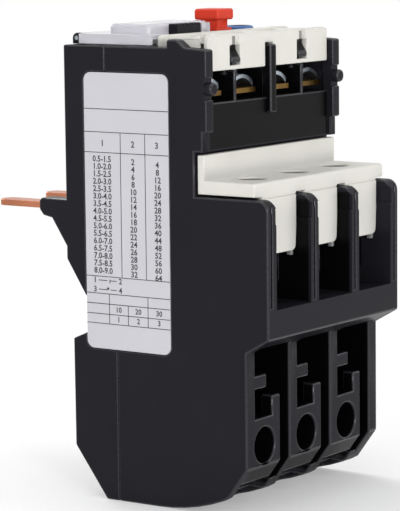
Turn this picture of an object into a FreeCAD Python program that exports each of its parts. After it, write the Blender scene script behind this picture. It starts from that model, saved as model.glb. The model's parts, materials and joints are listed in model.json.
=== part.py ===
import FreeCAD, Part
import math
import os

# Thermal overload relay, millimetres.
# X runs across the three poles, Z runs up to the face with the dial and the buttons.
# Y is counted as a depth from the front of the main terminal barriers, where the load
# cables go in, to the tips of the three copper bars that plug into the contactor.

# ---- overall body ----------------------------------------------------------------------------
BODY_WIDTH = 45.0
BODY_DEPTH = 45.0
SIDE_HEIGHT = 84.6
BAR_REACH = 21.7
POLES = 3
END_MARGIN = 1.5
POLE_PITCH = (BODY_WIDTH - 2 * END_MARGIN) / POLES
FIT_GAP = 0.1
RUN_GAP = 0.3

TOTAL_DEPTH = BODY_DEPTH + BAR_REACH
FRONT = -TOTAL_DEPTH / 2
HALF_WIDTH = BODY_WIDTH / 2
POLE_X = [POLE_PITCH * (k - (POLES - 1) / 2) for k in range(POLES)]

# ---- side outline of the housing, as depth and height ----------------------------------------
BOX_TOP = 57.9
BOX_FOOT = 32.9
BOX_UNDERCUT = 2.7
BLOCK_DEPTH = 4.8
BLOCK_FOOT = 9.0
FOOT_DEPTH = 10.2
FOOT_RISE = 2.6
SOLE_RADIUS = 39.0
SOLE_FLAT = 12.0
SOLE_SWEEP = 21.3
HEEL_DEPTH = 36.4
HEEL_RISE = 9.6
HEEL_WALL_DEPTH = 43.7
GROIN_DEPTH = 37.1
GROIN_HEIGHT = 32.7
GROIN_LOWER = 29.9
GROIN_UPPER = 44.8
NOSE_REACH = 6.3
NOSE_FOOT = 47.1
NOSE_BOTTOM = 52.4
NOSE_TOP = 55.9
NOSE_LIP = 0.9
NOSE_HEEL = 2.9
UPPER_FRONT_DEPTH = 13.0
UPPER_STEP_DEPTH = 13.85
UPPER_STEP_HEIGHT = 69.4
NOTCH_DEPTH = 15.75
NOTCH_TOP = 65.9
HUMP_HEIGHT = 1.4
HUMP_FRONT = 17.6
HUMP_BACK = 21.7
PEG_BAND_LOW = 75.3
PEG_BAND_HIGH = 79.2
PEG_BAND_STEP = 0.45
PEG_RADIUS = 1.2
PEG_LENGTH = 1.5

# ---- walls and chambers ----------------------------------------------------------------------
SIDE_WALL = 2.4
BACK_WALL = 2.2
PARTITION = 2.2
FLOOR = 4.0
SPLIT_HIGH = 35.6
SPLIT_LOW = 33.5
SPLIT_JOG = 56.0
CHAMBER_FRONT = 17.3
CHAMBER_BACK_LOW = 35.2
CHAMBER_STEP = 48.5
SHELF = 2.2
MECHANISM_FRONT = 26.4
MECHANISM_FLOOR = 62.7
PANEL_THICK = 2.4
PANEL_SEAT = 0.4
PANEL_BACK = BODY_DEPTH - BACK_WALL + PANEL_SEAT - FIT_GAP

# ---- main terminal box -----------------------------------------------------------------------
BARRIER = 2.6
BARRIER_ROUND = 2.0
BARRIER_STOP = 2.0
NECK_LOW = 53.6
NECK_HIGH = 56.4
NECK_STEP = 0.25
RECESS_FLOOR = 38.1
RECESS_DEPTH = 15.3

# ---- white terminal cover --------------------------------------------------------------------
COVER_INSET = 0.5
COVER_WIDTH = BODY_WIDTH - 2 * COVER_INSET
LEDGE_LOW = 58.3
LEDGE_TOP = 60.8
LEDGE_DEPTH = 3.1
LEDGE_BEVEL = 0.4
COVER_WALL_DEPTH = 13.9
COVER_WALL = 1.5
COVER_WALL_TOP = 65.4
TONGUE_FOOT = 47.6
TONGUE_THICK = 1.6
TONGUE_ROUND = 1.2
SCREW_DEPTH = 8.9
ACCESS_RADIUS = 2.8

# ---- lower block with its hooks --------------------------------------------------------------
BAY_POST = 2.7
BAY_CUT = 9.0
BAY_ROOF = 1.2
BAY_FIT = 0.1
BAY_PLATE = 2.6
HOOK_LOW = 23.2
HOOK_HIGH = 25.8
HOOK_REACH = 3.7
WINDOW_LOW = 17.9
WINDOW_WIDTH = 5.5
CATCH_WIDTH = 2.5
CATCH_TOP = 21.5
SLOT_DEEP = 3.2
SLOT_LOW = 5.2
BORE_RADIUS = 3.3
BORE_HEIGHT = 12.7
BORE_OFFSET = -2.6
BORE_DEPTH = 10.0
RELIEF_HEIGHT = 3.0
RELIEF_WIDTH = 8.6
RELIEF_DEEP = 5.0

# ---- auxiliary terminals ---------------------------------------------------------------------
AUX_EDGE = 0.1
AUX_PITCH = (HALF_WIDTH - AUX_EDGE) / 2
AUX_FRONT = 14.2
AUX_FLOOR = 74.6
AUX_BACK = 25.2
AUX_SCREW_DEPTH = 20.2
AUX_WALL = 0.8
AUX_WIDEN = 0.6
AUX_POST = 1.2
RIB_WIDTH = 2.0
RIB_FRONT = 13.25
RIB_LOW = 71.6
RIB_DROP = 0.3
RAIL_WIDE = 1.0
RAIL_HIGH = 1.2
RAIL_END = 0.5
AUX_COVER_LOW = 80.2
AUX_COVER_TOP = 86.6
AUX_COVER_BACK = 25.3
AUX_COVER_SKIN = 1.4
AUX_COVER_ROUND = 0.7
AUX_ACCESS_RADIUS = 2.5
AUX_SIDE_SKIN = 0.6
AUX_RIM_RADIUS = 4.2
AUX_RIM_DEEP = 0.5
LATCH_WIDTH = 3.4
HOOK_STEM = 1.1
LATCH_LOW = 81.0
LATCH_TOP = 84.6
GROOVE_WIDTH = 2.2
GROOVE_DEEP = 0.8
GROOVE_SIDE = 1.2
GUIDE_WALL = 1.0
GUIDE_LOW = 1.6

# ---- copper, bimetals and screws -------------------------------------------------------------
BAR_WIDTH = 4.0
BAR_THICK = 1.2
BAR_HEIGHT = 53.6
BAR_LEG = 9.0
STRIP_DEPTH = 30.0
STRIP_WIDTH = 5.0
STRIP_THICK = 0.8
STRIP_FOOT = 14.0
STRIP_TOP = 67.2
WINDING_FIT = 0.05
WINDING_LOW = 18.0
WINDING_HIGH = 47.0
WINDING_TURNS = 9
WINDING_WALL = 0.6
WINDING_RIB = 0.5
LOAD_PLATE = 1.2
LOAD_WIDTH = 5.0
LOAD_HEIGHT = 48.8
LOAD_FRONT = 5.0
CLAMP_LOW = 41.4
CLAMP_WALL = 1.0
CLAMP_WIDTH = 8.4
CLAMP_DEEP = 6.8
CLAMP_HIGH = 52.0
SCREW_LIFT = 0.8
SCREW_RADIUS = 1.9
SCREW_HEAD_RADIUS = 2.6
SCREW_HEAD_HIGH = 2.6
SCREW_SLOT = 0.8
SCREW_CROSS = 0.6
SCREW_CHAMFER = 0.3
AUX_PLATE = 0.9
AUX_PLATE_TOP = 76.5
AUX_CLAMP_ROOM = 4.0
AUX_CLAMP_WIDTH = AUX_PITCH - AUX_CLAMP_ROOM
AUX_CLAMP_THICK = 0.8
AUX_CLAMP_RISE = 1.7
AUX_SCREW_RADIUS = 1.4
AUX_HEAD_RADIUS = 2.2
AUX_HEAD_HIGH = 2.4

# ---- label -----------------------------------------------------------------------------------
LABEL_FRONT = 21.4
LABEL_BACK = 40.4
LABEL_LOW = 28.5
LABEL_TOP = 79.7
LABEL_THICK = 0.5
LABEL_ROUND = 1.5

# ---- shroud on the contactor side ------------------------------------------------------------
SHELL_GAP = 0.05
SHROUD_WALL = 3.6
SHROUD_SHELF = 2.2

# ---- front panel, lid and dial ---------------------------------------------------------------
PIN_GAP = 0.06
BUTTON_GAP = 0.15
SLEEVE_WALL = 0.8
SLEEVE_LOW = 77.4
SLEEVE_FLOOR = 0.8
HINGE_DEPTH = BODY_DEPTH - 1.1
HINGE_HEIGHT = 85.75
LUG_THICK = 1.3
LUG_ROUND = 0.95
LUG_LEAD = 1.7
LUG_START = 160
BARREL_RADIUS = 0.9
LID_PIN_RADIUS = 0.4
LID_LEFT = -HALF_WIDTH + 1.1
LID_RIGHT = 1.0
LUG_X = (LID_LEFT + 2.2, LID_RIGHT - 1.5)
LID_FRONT = 25.9
LID_NOTCH = LID_LEFT + 6.0
LID_TOP = 86.65
LID_THICK = 0.9
LID_WINDOW_LEFT = LID_LEFT + 3.2
LID_WINDOW_FRONT = 28.5
LID_WINDOW_BACK = HINGE_DEPTH - 6.3
LID_WINDOW_TOP = 88.4
LID_WINDOW_ROUND = 0.8
LID_TAB_FRONT = LID_FRONT + 0.3
LID_TAB_LEFT = -4.4
LID_TAB_RIGHT = LID_TAB_LEFT + 2.6
LID_TAB_DROP = 0.2
LID_TAIL = 1.7
LEVER_DEPTH = 27.1
LEVER_DEEP = 2.2
DIAL_X = -9.0
DIAL_ROOM = HINGE_DEPTH - BARREL_RADIUS - LEVER_DEPTH - LEVER_DEEP / 2
DIAL_CLEAR = 1.8
DIAL_AHEAD = 0.8
DIAL_RADIUS = DIAL_ROOM / 2 - DIAL_CLEAR
DIAL_DEPTH = HINGE_DEPTH - BARREL_RADIUS - DIAL_ROOM / 2 - DIAL_AHEAD
DIAL_THICK = 1.3
DIAL_WELL = 0.9
DIAL_BOSS_RADIUS = 2.6
DIAL_BOSS = 0.4
DIAL_STEM_RADIUS = 1.8
CAM_LOW = 78.3
CAM_THICK = 2.0
CAM_RADIUS = 3.0
CAM_RISE = 1.5
CAM_SWEEP = 300.0
CAM_STEPS = 24
SLOT_WIDE = 0.8
RIM_BEVEL = 0.3
STEM_WALL = 1.4
STEM_HIGH = 1.6

# ---- buttons and test lever ------------------------------------------------------------------
SPRING_WIRE = 0.25
SPRING_RADIUS = 1.8
SPRING_TURNS = 4
SPRING_STEPS = 12
PLUNGER_RADIUS = 1.2
STOP_FOOT = 75.1
RESET_FOOT = 77.9
SHOULDER_LOW = 83.4
SHOULDER_TOP = 86.9
STOP_X = 4.6
STOP_AHEAD = 5.0
STOP_DEPTH = DIAL_DEPTH - STOP_AHEAD
STOP_WIDTH = 5.0
STOP_DEEP = 5.0
HEAD_WIDTH = 5.4
HEAD_DEEP = 5.6
HEAD_LOW = 88.35
HEAD_TOP = 90.45
HEAD_ROUND = 0.5
NECK_WIDTH = 3.3
NECK_DEEP = 4.2
RESET_X = HALF_WIDTH - 8.0
RESET_AHEAD = 3.4
RESET_DEPTH = DIAL_DEPTH - RESET_AHEAD
RESET_RADIUS = 3.3
RESET_TOP = 86.8
RESET_CAP_LOW = 84.9
STUB_RADIUS = 1.5
CAP_ROOF = 0.8
CAP_SLOT_DEEP = 0.5
LEVER_X = -8.8
LEVER_WIDTH = 7.4
LEVER_TOP = 88.3
LEVER_STEM = 2.4
LEVER_STEM_DEEP = 1.2
STEM_DEPTH = 27.4
LEVER_FOOT = 80.2
LEVER_TRAVEL = 2.0
LEVER_RIBS = 5
LEVER_GROOVE = 0.45
LEVER_LIFT = 0.2
FLAG_X = -HALF_WIDTH + 5.3
FLAG_DEPTH = 29.6
FLAG_WIDTH = 1.6
FLAG_DEEP = 2.4
FLAG_SWING = 2.6
FLAG_ROOM = 0.5

# ---- trip mechanism --------------------------------------------------------------------------
BAR_LOW = 63.0
BAR_PLATE = 1.6
BAR_LEVEL_GAP = 0.6
BAR_LEFT = -HALF_WIDTH + 3.9
AUX_BAR_SHORT = 0.9
BAR_DEEP = 5.4
TRIP_TRAVEL = 2.0
FRAME_FRONT = 33.3
FRAME_THICK = 1.4
FRAME_TOP = 76.9
PIVOT_RADIUS = 0.8
PIVOT_SEAT = 0.9
ROCKER_X = HALF_WIDTH - 5.5
ROCKER_Z = 74.0
ROCKER_HUB = 1.6
ROCKER_NOSE_X = 6.0
ROCKER_THICK = 1.2
COMPENSATOR_THICK = 0.8
COMPENSATOR_SEAT = 0.4
ARM_X = -4.0
ARM_Z = 72.1
ARM_THICK = 0.6
ARM_LEFT = ARM_X - FLAG_X + 1.0
ARM_RIGHT = ROCKER_NOSE_X + 0.4 - ARM_X
ARM_DEEP = 3.2
CONTACT_X = FLAG_X + 4.2
CONTACT_RADIUS = 1.2
CONTACT_HIGH = 0.6
CONTACT_LIFT = 2.0
CONTACT_STRIP = 0.8
CONTACT_REACH = 4.5
FOLLOWER_THICK = 1.6
FOLLOWER_LOW = 78.5
FOLLOWER_DEEP = 2.4
FOLLOWER_RIGHT = 9.0
FOLLOWER_PEGS = (-1.0, 6.5)
PEG_PIN_RADIUS = 0.5


def at(depth):
    """Y of a depth counted from the front of the barriers."""
    return FRONT + depth


def box(x0, x1, d0, d1, z0, z1):
    """Block between two X in either order, two depths and two heights."""
    return Part.makeBox(abs(x1 - x0), d1 - d0, z1 - z0, FreeCAD.Vector(min(x0, x1), at(d0), z0))


def slab(width, d0, d1, z0, z1, centre=0.0):
    return box(centre - width / 2, centre + width / 2, d0, d1, z0, z1)


def rod(radius, x, depth, z0, z1):
    return Part.makeCylinder(radius, z1 - z0, FreeCAD.Vector(x, at(depth), z0))


def rod_across(radius, x0, x1, depth, z):
    along = FreeCAD.Vector(1, 0, 0)
    return Part.makeCylinder(radius, x1 - x0, FreeCAD.Vector(x0, at(depth), z), along)


def rod_deep(radius, x, z, d0, d1):
    return Part.makeCylinder(radius, d1 - d0, FreeCAD.Vector(x, at(d0), z), FreeCAD.Vector(0, 1, 0))


def side_prism(outline, x0, x1):
    """Extrude a depth and height outline along X."""
    points = [FreeCAD.Vector(x0, at(d), z) for d, z in outline]
    face = Part.Face(Part.makePolygon(points + points[:1]))
    return face.extrude(FreeCAD.Vector(x1 - x0, 0, 0))


def front_prism(outline, d0, d1):
    """Extrude an X and Z outline along the depth."""
    points = [FreeCAD.Vector(x, at(d0), z) for x, z in outline]
    face = Part.Face(Part.makePolygon(points + points[:1]))
    return face.extrude(FreeCAD.Vector(0, d1 - d0, 0))


def plan_prism(outline, z0, z1):
    """Extrude an X and depth outline along Z."""
    points = [FreeCAD.Vector(x, at(d), z0) for x, d in outline]
    face = Part.Face(Part.makePolygon(points + points[:1]))
    return face.extrude(FreeCAD.Vector(0, 0, z1 - z0))


def arc_points(centre, radius, start, end, steps=5):
    """Points on an arc, angles in degrees."""
    turns = [math.radians(start + (end - start) * k / steps) for k in range(steps + 1)]
    return [(centre[0] + radius * math.cos(a), centre[1] + radius * math.sin(a)) for a in turns]


def edges_along(shape, axis, wanted):
    """Straight edges parallel to one axis whose middle passes a test."""
    found = []
    for edge in shape.Edges:
        if len(edge.Vertexes) != 2:
            continue
        a = edge.Vertexes[0].Point
        b = edge.Vertexes[1].Point
        span = b - a
        if abs(abs(span.normalize().dot(axis)) - 1) < 1e-6 and wanted((a + b) * 0.5):
            found.append(edge)
    return found


def fuse(shapes):
    first = shapes[0]
    return first.multiFuse(shapes[1:]).removeSplitter() if len(shapes) > 1 else first


def cut(shape, tools):
    return shape.cut(fuse(tools) if len(tools) > 1 else tools[0]).removeSplitter()


def group(shapes):
    return Part.makeCompound(shapes)


PARTS = {}


def keep(name, shape):
    PARTS[name] = shape


# ---- housing ---------------------------------------------------------------------------------
def side_outline():
    """Depth and height outline of the closed side walls, drawn from the front foot backwards."""
    middle = (HEEL_DEPTH - SOLE_FLAT, SOLE_RADIUS)
    sole = arc_points(middle, SOLE_RADIUS, -90.0 - SOLE_SWEEP, -90.0)
    nose = [
        (BODY_DEPTH, NOSE_FOOT),
        (BODY_DEPTH + NOSE_REACH - NOSE_HEEL, NOSE_BOTTOM - 0.2),
        (BODY_DEPTH + NOSE_REACH - NOSE_LIP, NOSE_BOTTOM + 0.2),
        (BODY_DEPTH + NOSE_REACH, NOSE_BOTTOM + 0.2 + 1.2 * NOSE_LIP),
        (BODY_DEPTH + NOSE_REACH, NOSE_TOP - 0.5),
        (BODY_DEPTH + NOSE_REACH - 0.5, NOSE_TOP),
        (BODY_DEPTH, NOSE_TOP),
    ]
    hump = [
        (HUMP_BACK, SIDE_HEIGHT),
        (HUMP_BACK - 0.1, SIDE_HEIGHT + HUMP_HEIGHT),
        (HUMP_BACK - 2.2, SIDE_HEIGHT + HUMP_HEIGHT),
        (HUMP_FRONT, SIDE_HEIGHT),
    ]
    corner = arc_points((BARRIER_ROUND, BOX_TOP - BARRIER_ROUND), BARRIER_ROUND, 90, 180)
    lead = [
        (BLOCK_DEPTH, BOX_FOOT - BOX_UNDERCUT),
        (BLOCK_DEPTH, BLOCK_FOOT),
        (FOOT_DEPTH - 1.3, FOOT_RISE + 0.8),
    ]
    heel = [
        (HEEL_DEPTH, 0.0),
        (HEEL_WALL_DEPTH - 0.1, HEEL_RISE),
        (HEEL_WALL_DEPTH, GROIN_LOWER),
        (GROIN_DEPTH, GROIN_HEIGHT),
        (BODY_DEPTH, GROIN_UPPER),
    ]
    front = [
        (UPPER_FRONT_DEPTH, SIDE_HEIGHT - 0.3),
        (UPPER_FRONT_DEPTH, UPPER_STEP_HEIGHT),
        (UPPER_STEP_DEPTH, UPPER_STEP_HEIGHT),
        (UPPER_STEP_DEPTH, NOTCH_TOP),
        (NOTCH_DEPTH, NOTCH_TOP),
        (NOTCH_DEPTH, BOX_TOP),
    ]
    back = [(BODY_DEPTH, SIDE_HEIGHT)]
    return lead + sole + heel + nose + back + hump + front + corner + [(0.0, BOX_FOOT)]


def body_block():
    """The whole housing as one solid."""
    return side_prism(side_outline(), -HALF_WIDTH, HALF_WIDTH)


def label_plate(gap):
    """The label's outline with rounded corners, grown by a gap."""
    x0 = -HALF_WIDTH - (1.0 if gap else 0.0)
    plate = box(x0, -HALF_WIDTH + LABEL_THICK, LABEL_FRONT - gap, LABEL_BACK + gap,
                LABEL_LOW - gap, LABEL_TOP + gap)
    corners = edges_along(plate, FreeCAD.Vector(1, 0, 0), lambda p: True)
    return plate.makeFillet(LABEL_ROUND + gap, corners)


def chamber():
    """Hollow inside both shells: one bay for each pole and the mechanism room above them."""
    half = (POLE_PITCH - PARTITION) / 2
    back = BODY_DEPTH - BACK_WALL
    shelf = MECHANISM_FLOOR - SHELF
    bays = [slab(BODY_WIDTH - 2 * SIDE_WALL, MECHANISM_FRONT, back, MECHANISM_FLOOR, SIDE_HEIGHT + 3)]
    for x in POLE_X:
        bays.append(box(x - half, x + half, CHAMBER_FRONT, CHAMBER_BACK_LOW, FLOOR, shelf))
        bays.append(box(x - half, x + half, MECHANISM_FRONT, back, CHAMBER_STEP, MECHANISM_FLOOR))
    return fuse(bays)


def front_half(gap=0.0):
    """Room in front of the joint between the two shells."""
    wide = BODY_WIDTH + 4
    low = slab(wide, -5, SPLIT_LOW, -5, SPLIT_JOG)
    high = slab(wide, -5, SPLIT_HIGH, SPLIT_JOG, SIDE_HEIGHT + 10)
    return fuse([low, high])


def terminal_recesses():
    """One cable recess for each pole, open to the front and to the white cover above."""
    inner = (POLE_PITCH - BARRIER) / 2
    return [box(x - inner, x + inner, -1, RECESS_DEPTH, RECESS_FLOOR, BOX_TOP + 1) for x in POLE_X]


def barrier_necks():
    """Shallow steps on both flanks of each inner barrier that the cover's tongues clip behind."""
    steps = []
    inner = (POLE_PITCH - BARRIER) / 2
    for x in POLE_X:
        for side in (-1, 1):
            face = x + side * inner
            steps.append(box(face, face + side * NECK_STEP, -1, LEDGE_DEPTH + BARRIER_STOP,
                             NECK_LOW, NECK_HIGH))
    return steps


def hook_bay(x):
    """Cuts of one bay of the lower block, leaving a hook, a catch and the plate with its bore."""
    left = x - POLE_PITCH / 2 + BARRIER / 2
    post = left + BAY_FIT
    right = left + POLE_PITCH - BAY_POST
    face = BLOCK_DEPTH - 1
    plate = BLOCK_DEPTH + BAY_PLATE
    back = BLOCK_DEPTH + BAY_CUT
    top = BOX_FOOT - BAY_ROOF
    window_right = post + WINDOW_WIDTH
    catch_right = window_right + CATCH_WIDTH
    cuts = [
        box(post, right, plate, back, WINDOW_LOW, top),
        box(post, right, face, plate + 0.01, HOOK_HIGH, top),
        box(post + HOOK_REACH, right, face, plate + 0.01, HOOK_LOW - 0.01, HOOK_HIGH + 0.01),
        box(post, window_right, face, plate + 0.01, WINDOW_LOW, HOOK_LOW),
        box(window_right - 0.01, right, face, plate + 0.01, CATCH_TOP, HOOK_LOW),
        box(catch_right, right, face, back, SLOT_LOW, CATCH_TOP + 0.01),
        box(catch_right, right, face - 1, BLOCK_DEPTH + SLOT_DEEP, SLOT_LOW, BLOCK_FOOT),
        rod_deep(BORE_RADIUS, x + BORE_OFFSET, BORE_HEIGHT, face, BLOCK_DEPTH + BORE_DEPTH),
    ]
    return cuts


def sole_relief(x):
    """Shallow pocket under the front foot of one bay."""
    half = RELIEF_WIDTH / 2
    return box(x - half, x + half, FOOT_DEPTH - 3.0, FOOT_DEPTH + RELIEF_DEEP, -1, RELIEF_HEIGHT)


def aux_room():
    """Open terminal row between the side walls, with the seat of the upper white cover above it."""
    wide = BODY_WIDTH - 2 * SIDE_WALL
    over = SIDE_HEIGHT + 5
    seat = AUX_COVER_LOW - FIT_GAP
    return [
        slab(wide, 0, AUX_FRONT, NOTCH_TOP, over),
        slab(wide, AUX_FRONT - 1, AUX_BACK, AUX_FLOOR, over),
        slab(wide + 2 * AUX_WIDEN, AUX_FRONT + AUX_POST, AUX_BACK, AUX_FLOOR, seat),
        slab(wide, AUX_BACK - 1, AUX_COVER_BACK + FIT_GAP, AUX_COVER_LOW, over),
        slab(wide, AUX_BACK, MECHANISM_FRONT + 1, SIDE_HEIGHT - PANEL_THICK, over),
    ]


def aux_walls():
    """Thin walls between the auxiliary terminals, the middle rib and the two latch hooks."""
    walls = []
    for side in (-1, 1):
        x = side * AUX_PITCH
        walls.append(slab(AUX_WALL, AUX_FRONT, AUX_BACK, AUX_FLOOR, AUX_COVER_LOW - FIT_GAP, x))
        wall_back = AUX_FRONT + AUX_COVER_SKIN + FIT_GAP
        hook = [
            (wall_back + HOOK_STEM, AUX_COVER_LOW - 1.0),
            (wall_back + HOOK_STEM, LATCH_TOP - 0.3),
            (wall_back - 0.3, LATCH_TOP - 0.3),
            (AUX_FRONT - 0.2, LATCH_LOW + 1.2),
            (AUX_FRONT - 0.2, LATCH_LOW + 0.4),
            (wall_back, LATCH_LOW + 0.2),
            (wall_back, AUX_COVER_LOW - 1.0),
        ]
        half = LATCH_WIDTH / 2 - 0.2
        walls.append(side_prism(hook, x - half, x + half))
    walls.append(slab(AUX_WALL, AUX_FRONT, AUX_BACK, AUX_FLOOR, AUX_COVER_LOW - FIT_GAP))
    walls.append(slab(RIB_WIDTH, RIB_FRONT, AUX_FRONT + AUX_POST, RIB_LOW, SIDE_HEIGHT - RIB_DROP))
    return walls


def load_plate_slots(x):
    half = LOAD_WIDTH / 2 + FIT_GAP / 2
    low = LOAD_HEIGHT - FIT_GAP / 2
    return box(x - half, x + half, RECESS_DEPTH - 1, CHAMBER_FRONT + 1, low, low + LOAD_PLATE + FIT_GAP)


def main_housing():
    shell = body_block().common(front_half())
    cuts = [chamber(), label_plate(FIT_GAP)]
    cuts += terminal_recesses()
    cuts += barrier_necks()
    cuts += aux_room()
    for x in POLE_X:
        cuts += hook_bay(x)
        cuts.append(sole_relief(x))
        cuts.append(load_plate_slots(x))
    for x, z in ((ROCKER_X, ROCKER_Z), (ARM_X, ARM_Z)):
        seat = MECHANISM_FRONT - PIVOT_SEAT
        cuts.append(rod_deep(PIVOT_RADIUS + PIN_GAP, x, z, seat, MECHANISM_FRONT + 1))
    band = UPPER_FRONT_DEPTH + PEG_BAND_STEP
    cuts.append(slab(BODY_WIDTH + 2, UPPER_FRONT_DEPTH - 1, band, PEG_BAND_LOW, PEG_BAND_HIGH))
    shell = shell.cut(fuse(cuts))
    adds = aux_walls() + panel_rails(MECHANISM_FRONT - RAIL_END, SPLIT_HIGH)
    for side in (-1, 1):
        x = side * (HALF_WIDTH - SIDE_WALL / 2)
        middle = (PEG_BAND_LOW + PEG_BAND_HIGH) / 2
        adds.append(rod_deep(PEG_RADIUS, x, middle, band - PEG_LENGTH, band + RAIL_END))
    return fuse([shell] + adds)


def panel_rails(front, back):
    """Rails inside both side walls that the front panel rests on."""
    rail = HALF_WIDTH - SIDE_WALL
    top = SIDE_HEIGHT - PANEL_THICK
    return [box(side * rail, side * (rail - RAIL_WIDE), front, back, top - RAIL_HIGH, top)
            for side in (-1, 1)]


def rear_housing():
    """Shell on the contactor side, with the shroud round the copper bars."""
    shell = body_block().cut(front_half())
    shell = shell.cut(slab(BODY_WIDTH + 2, SPLIT_LOW - 1, SPLIT_LOW + SHELL_GAP, -1, SPLIT_JOG))
    cuts = [chamber(), label_plate(FIT_GAP)]
    half_bar = BAR_WIDTH / 2 + FIT_GAP / 2
    half_slot = BAR_THICK / 2 + FIT_GAP / 2
    well = POLE_PITCH - SHROUD_WALL
    wall = BODY_DEPTH - BACK_WALL
    tip = BODY_DEPTH + NOSE_REACH + 1
    for x in POLE_X:
        cuts.append(box(x - half_bar, x + half_bar, wall - 1, tip,
                        BAR_HEIGHT - half_slot, BAR_HEIGHT + half_slot))
        cuts.append(slab(well, BODY_DEPTH, tip, BAR_HEIGHT - SHROUD_SHELF, NOSE_TOP + 1, x))
    cuts.append(slab(BODY_WIDTH - 2 * SIDE_WALL, wall - 1, PANEL_BACK + FIT_GAP,
                     SIDE_HEIGHT - PANEL_THICK, SIDE_HEIGHT + 1))
    shell = shell.cut(fuse(cuts))
    return fuse([shell] + panel_rails(SPLIT_HIGH, wall + RAIL_END / 2))


# ---- white covers ----------------------------------------------------------------------------
def terminal_cover():
    """L-shaped cover over the load terminals, with a finger guard tongue in each recess."""
    ledge = [
        (LEDGE_DEPTH, LEDGE_LOW),
        (LEDGE_DEPTH, LEDGE_TOP - LEDGE_BEVEL),
        (LEDGE_DEPTH + LEDGE_BEVEL, LEDGE_TOP),
        (COVER_WALL_DEPTH, LEDGE_TOP),
        (COVER_WALL_DEPTH, COVER_WALL_TOP),
        (COVER_WALL_DEPTH + COVER_WALL, COVER_WALL_TOP),
        (COVER_WALL_DEPTH + COVER_WALL, LEDGE_LOW),
    ]
    cover = side_prism(ledge, -COVER_WIDTH / 2, COVER_WIDTH / 2)
    width = POLE_PITCH - BARRIER - RUN_GAP
    tongues = []
    for x in POLE_X:
        tongue = slab(width, LEDGE_DEPTH, LEDGE_DEPTH + TONGUE_THICK, TONGUE_FOOT, LEDGE_LOW + 0.5, x)
        corners = edges_along(tongue, FreeCAD.Vector(0, 1, 0), lambda p: p.z < TONGUE_FOOT + 1)
        tongues.append(tongue.makeFillet(TONGUE_ROUND, corners))
    holes = [rod(ACCESS_RADIUS, x, SCREW_DEPTH, LEDGE_LOW - 1, LEDGE_TOP + 1) for x in POLE_X]
    return cut(fuse([cover] + tongues), holes)


def aux_cover():
    """Upper white cover over the auxiliary screws, hollow, with a guide tube for each screwdriver."""
    width = BODY_WIDTH - 2 * SIDE_WALL - 2 * FIT_GAP
    block = slab(width, AUX_FRONT, AUX_COVER_BACK, AUX_COVER_LOW, AUX_COVER_TOP)
    top = AUX_COVER_TOP - 0.01
    rims = [e for e in block.Edges if e.BoundBox.ZMin > top]
    block = block.makeFillet(AUX_COVER_ROUND, rims)
    skin = AUX_COVER_SKIN
    low = AUX_COVER_LOW - 1
    over = AUX_COVER_TOP + 1
    roof = AUX_COVER_TOP - skin
    hollow = slab(width - 2 * AUX_SIDE_SKIN, AUX_FRONT + skin, AUX_COVER_BACK - skin, low, roof)
    block = block.cut(hollow)
    inside = slab(width - AUX_SIDE_SKIN, AUX_FRONT, AUX_COVER_BACK, AUX_COVER_LOW, AUX_COVER_TOP)
    tubes = []
    cuts = []
    for x in aux_x():
        tube = rod(AUX_ACCESS_RADIUS + GUIDE_WALL, x, AUX_SCREW_DEPTH, AUX_COVER_LOW + GUIDE_LOW, roof + 0.1)
        tubes.append(tube.common(inside))
        cuts.append(rod(AUX_ACCESS_RADIUS, x, AUX_SCREW_DEPTH, low, over))
        cuts.append(rod(AUX_RIM_RADIUS, x, AUX_SCREW_DEPTH, AUX_COVER_TOP - AUX_RIM_DEEP, over))
    through = AUX_FRONT + skin + 1
    for side in (-1, 1):
        x = side * AUX_PITCH
        flank = side * width / 2
        groove = AUX_FRONT + GROOVE_DEEP
        cuts.append(slab(LATCH_WIDTH, AUX_FRONT - 1, through, LATCH_LOW, LATCH_TOP, x))
        cuts.append(slab(GROOVE_WIDTH, AUX_FRONT - 1, groove, LATCH_TOP - 0.1, over, x))
        cuts.append(box(flank, flank - side * GROOVE_DEEP, groove, groove + GROOVE_SIDE,
                        SIDE_HEIGHT - 0.5, over))
    cuts.append(slab(RIB_WIDTH + 2 * RUN_GAP, AUX_FRONT - 1, through, low, SIDE_HEIGHT))
    return cut(fuse([block] + tubes), cuts)


# ---- front panel and its moving pieces -------------------------------------------------------
def guide_well(x, depth, wide, deep):
    """Square guide sleeve hanging below the panel; its floor carries the return spring."""
    half = wide / 2 + BUTTON_GAP + SLEEVE_WALL
    reach = deep / 2 + BUTTON_GAP + SLEEVE_WALL
    top = SIDE_HEIGHT - PANEL_THICK + 0.1
    return box(x - half, x + half, depth - reach, depth + reach, SLEEVE_LOW, top)


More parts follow.
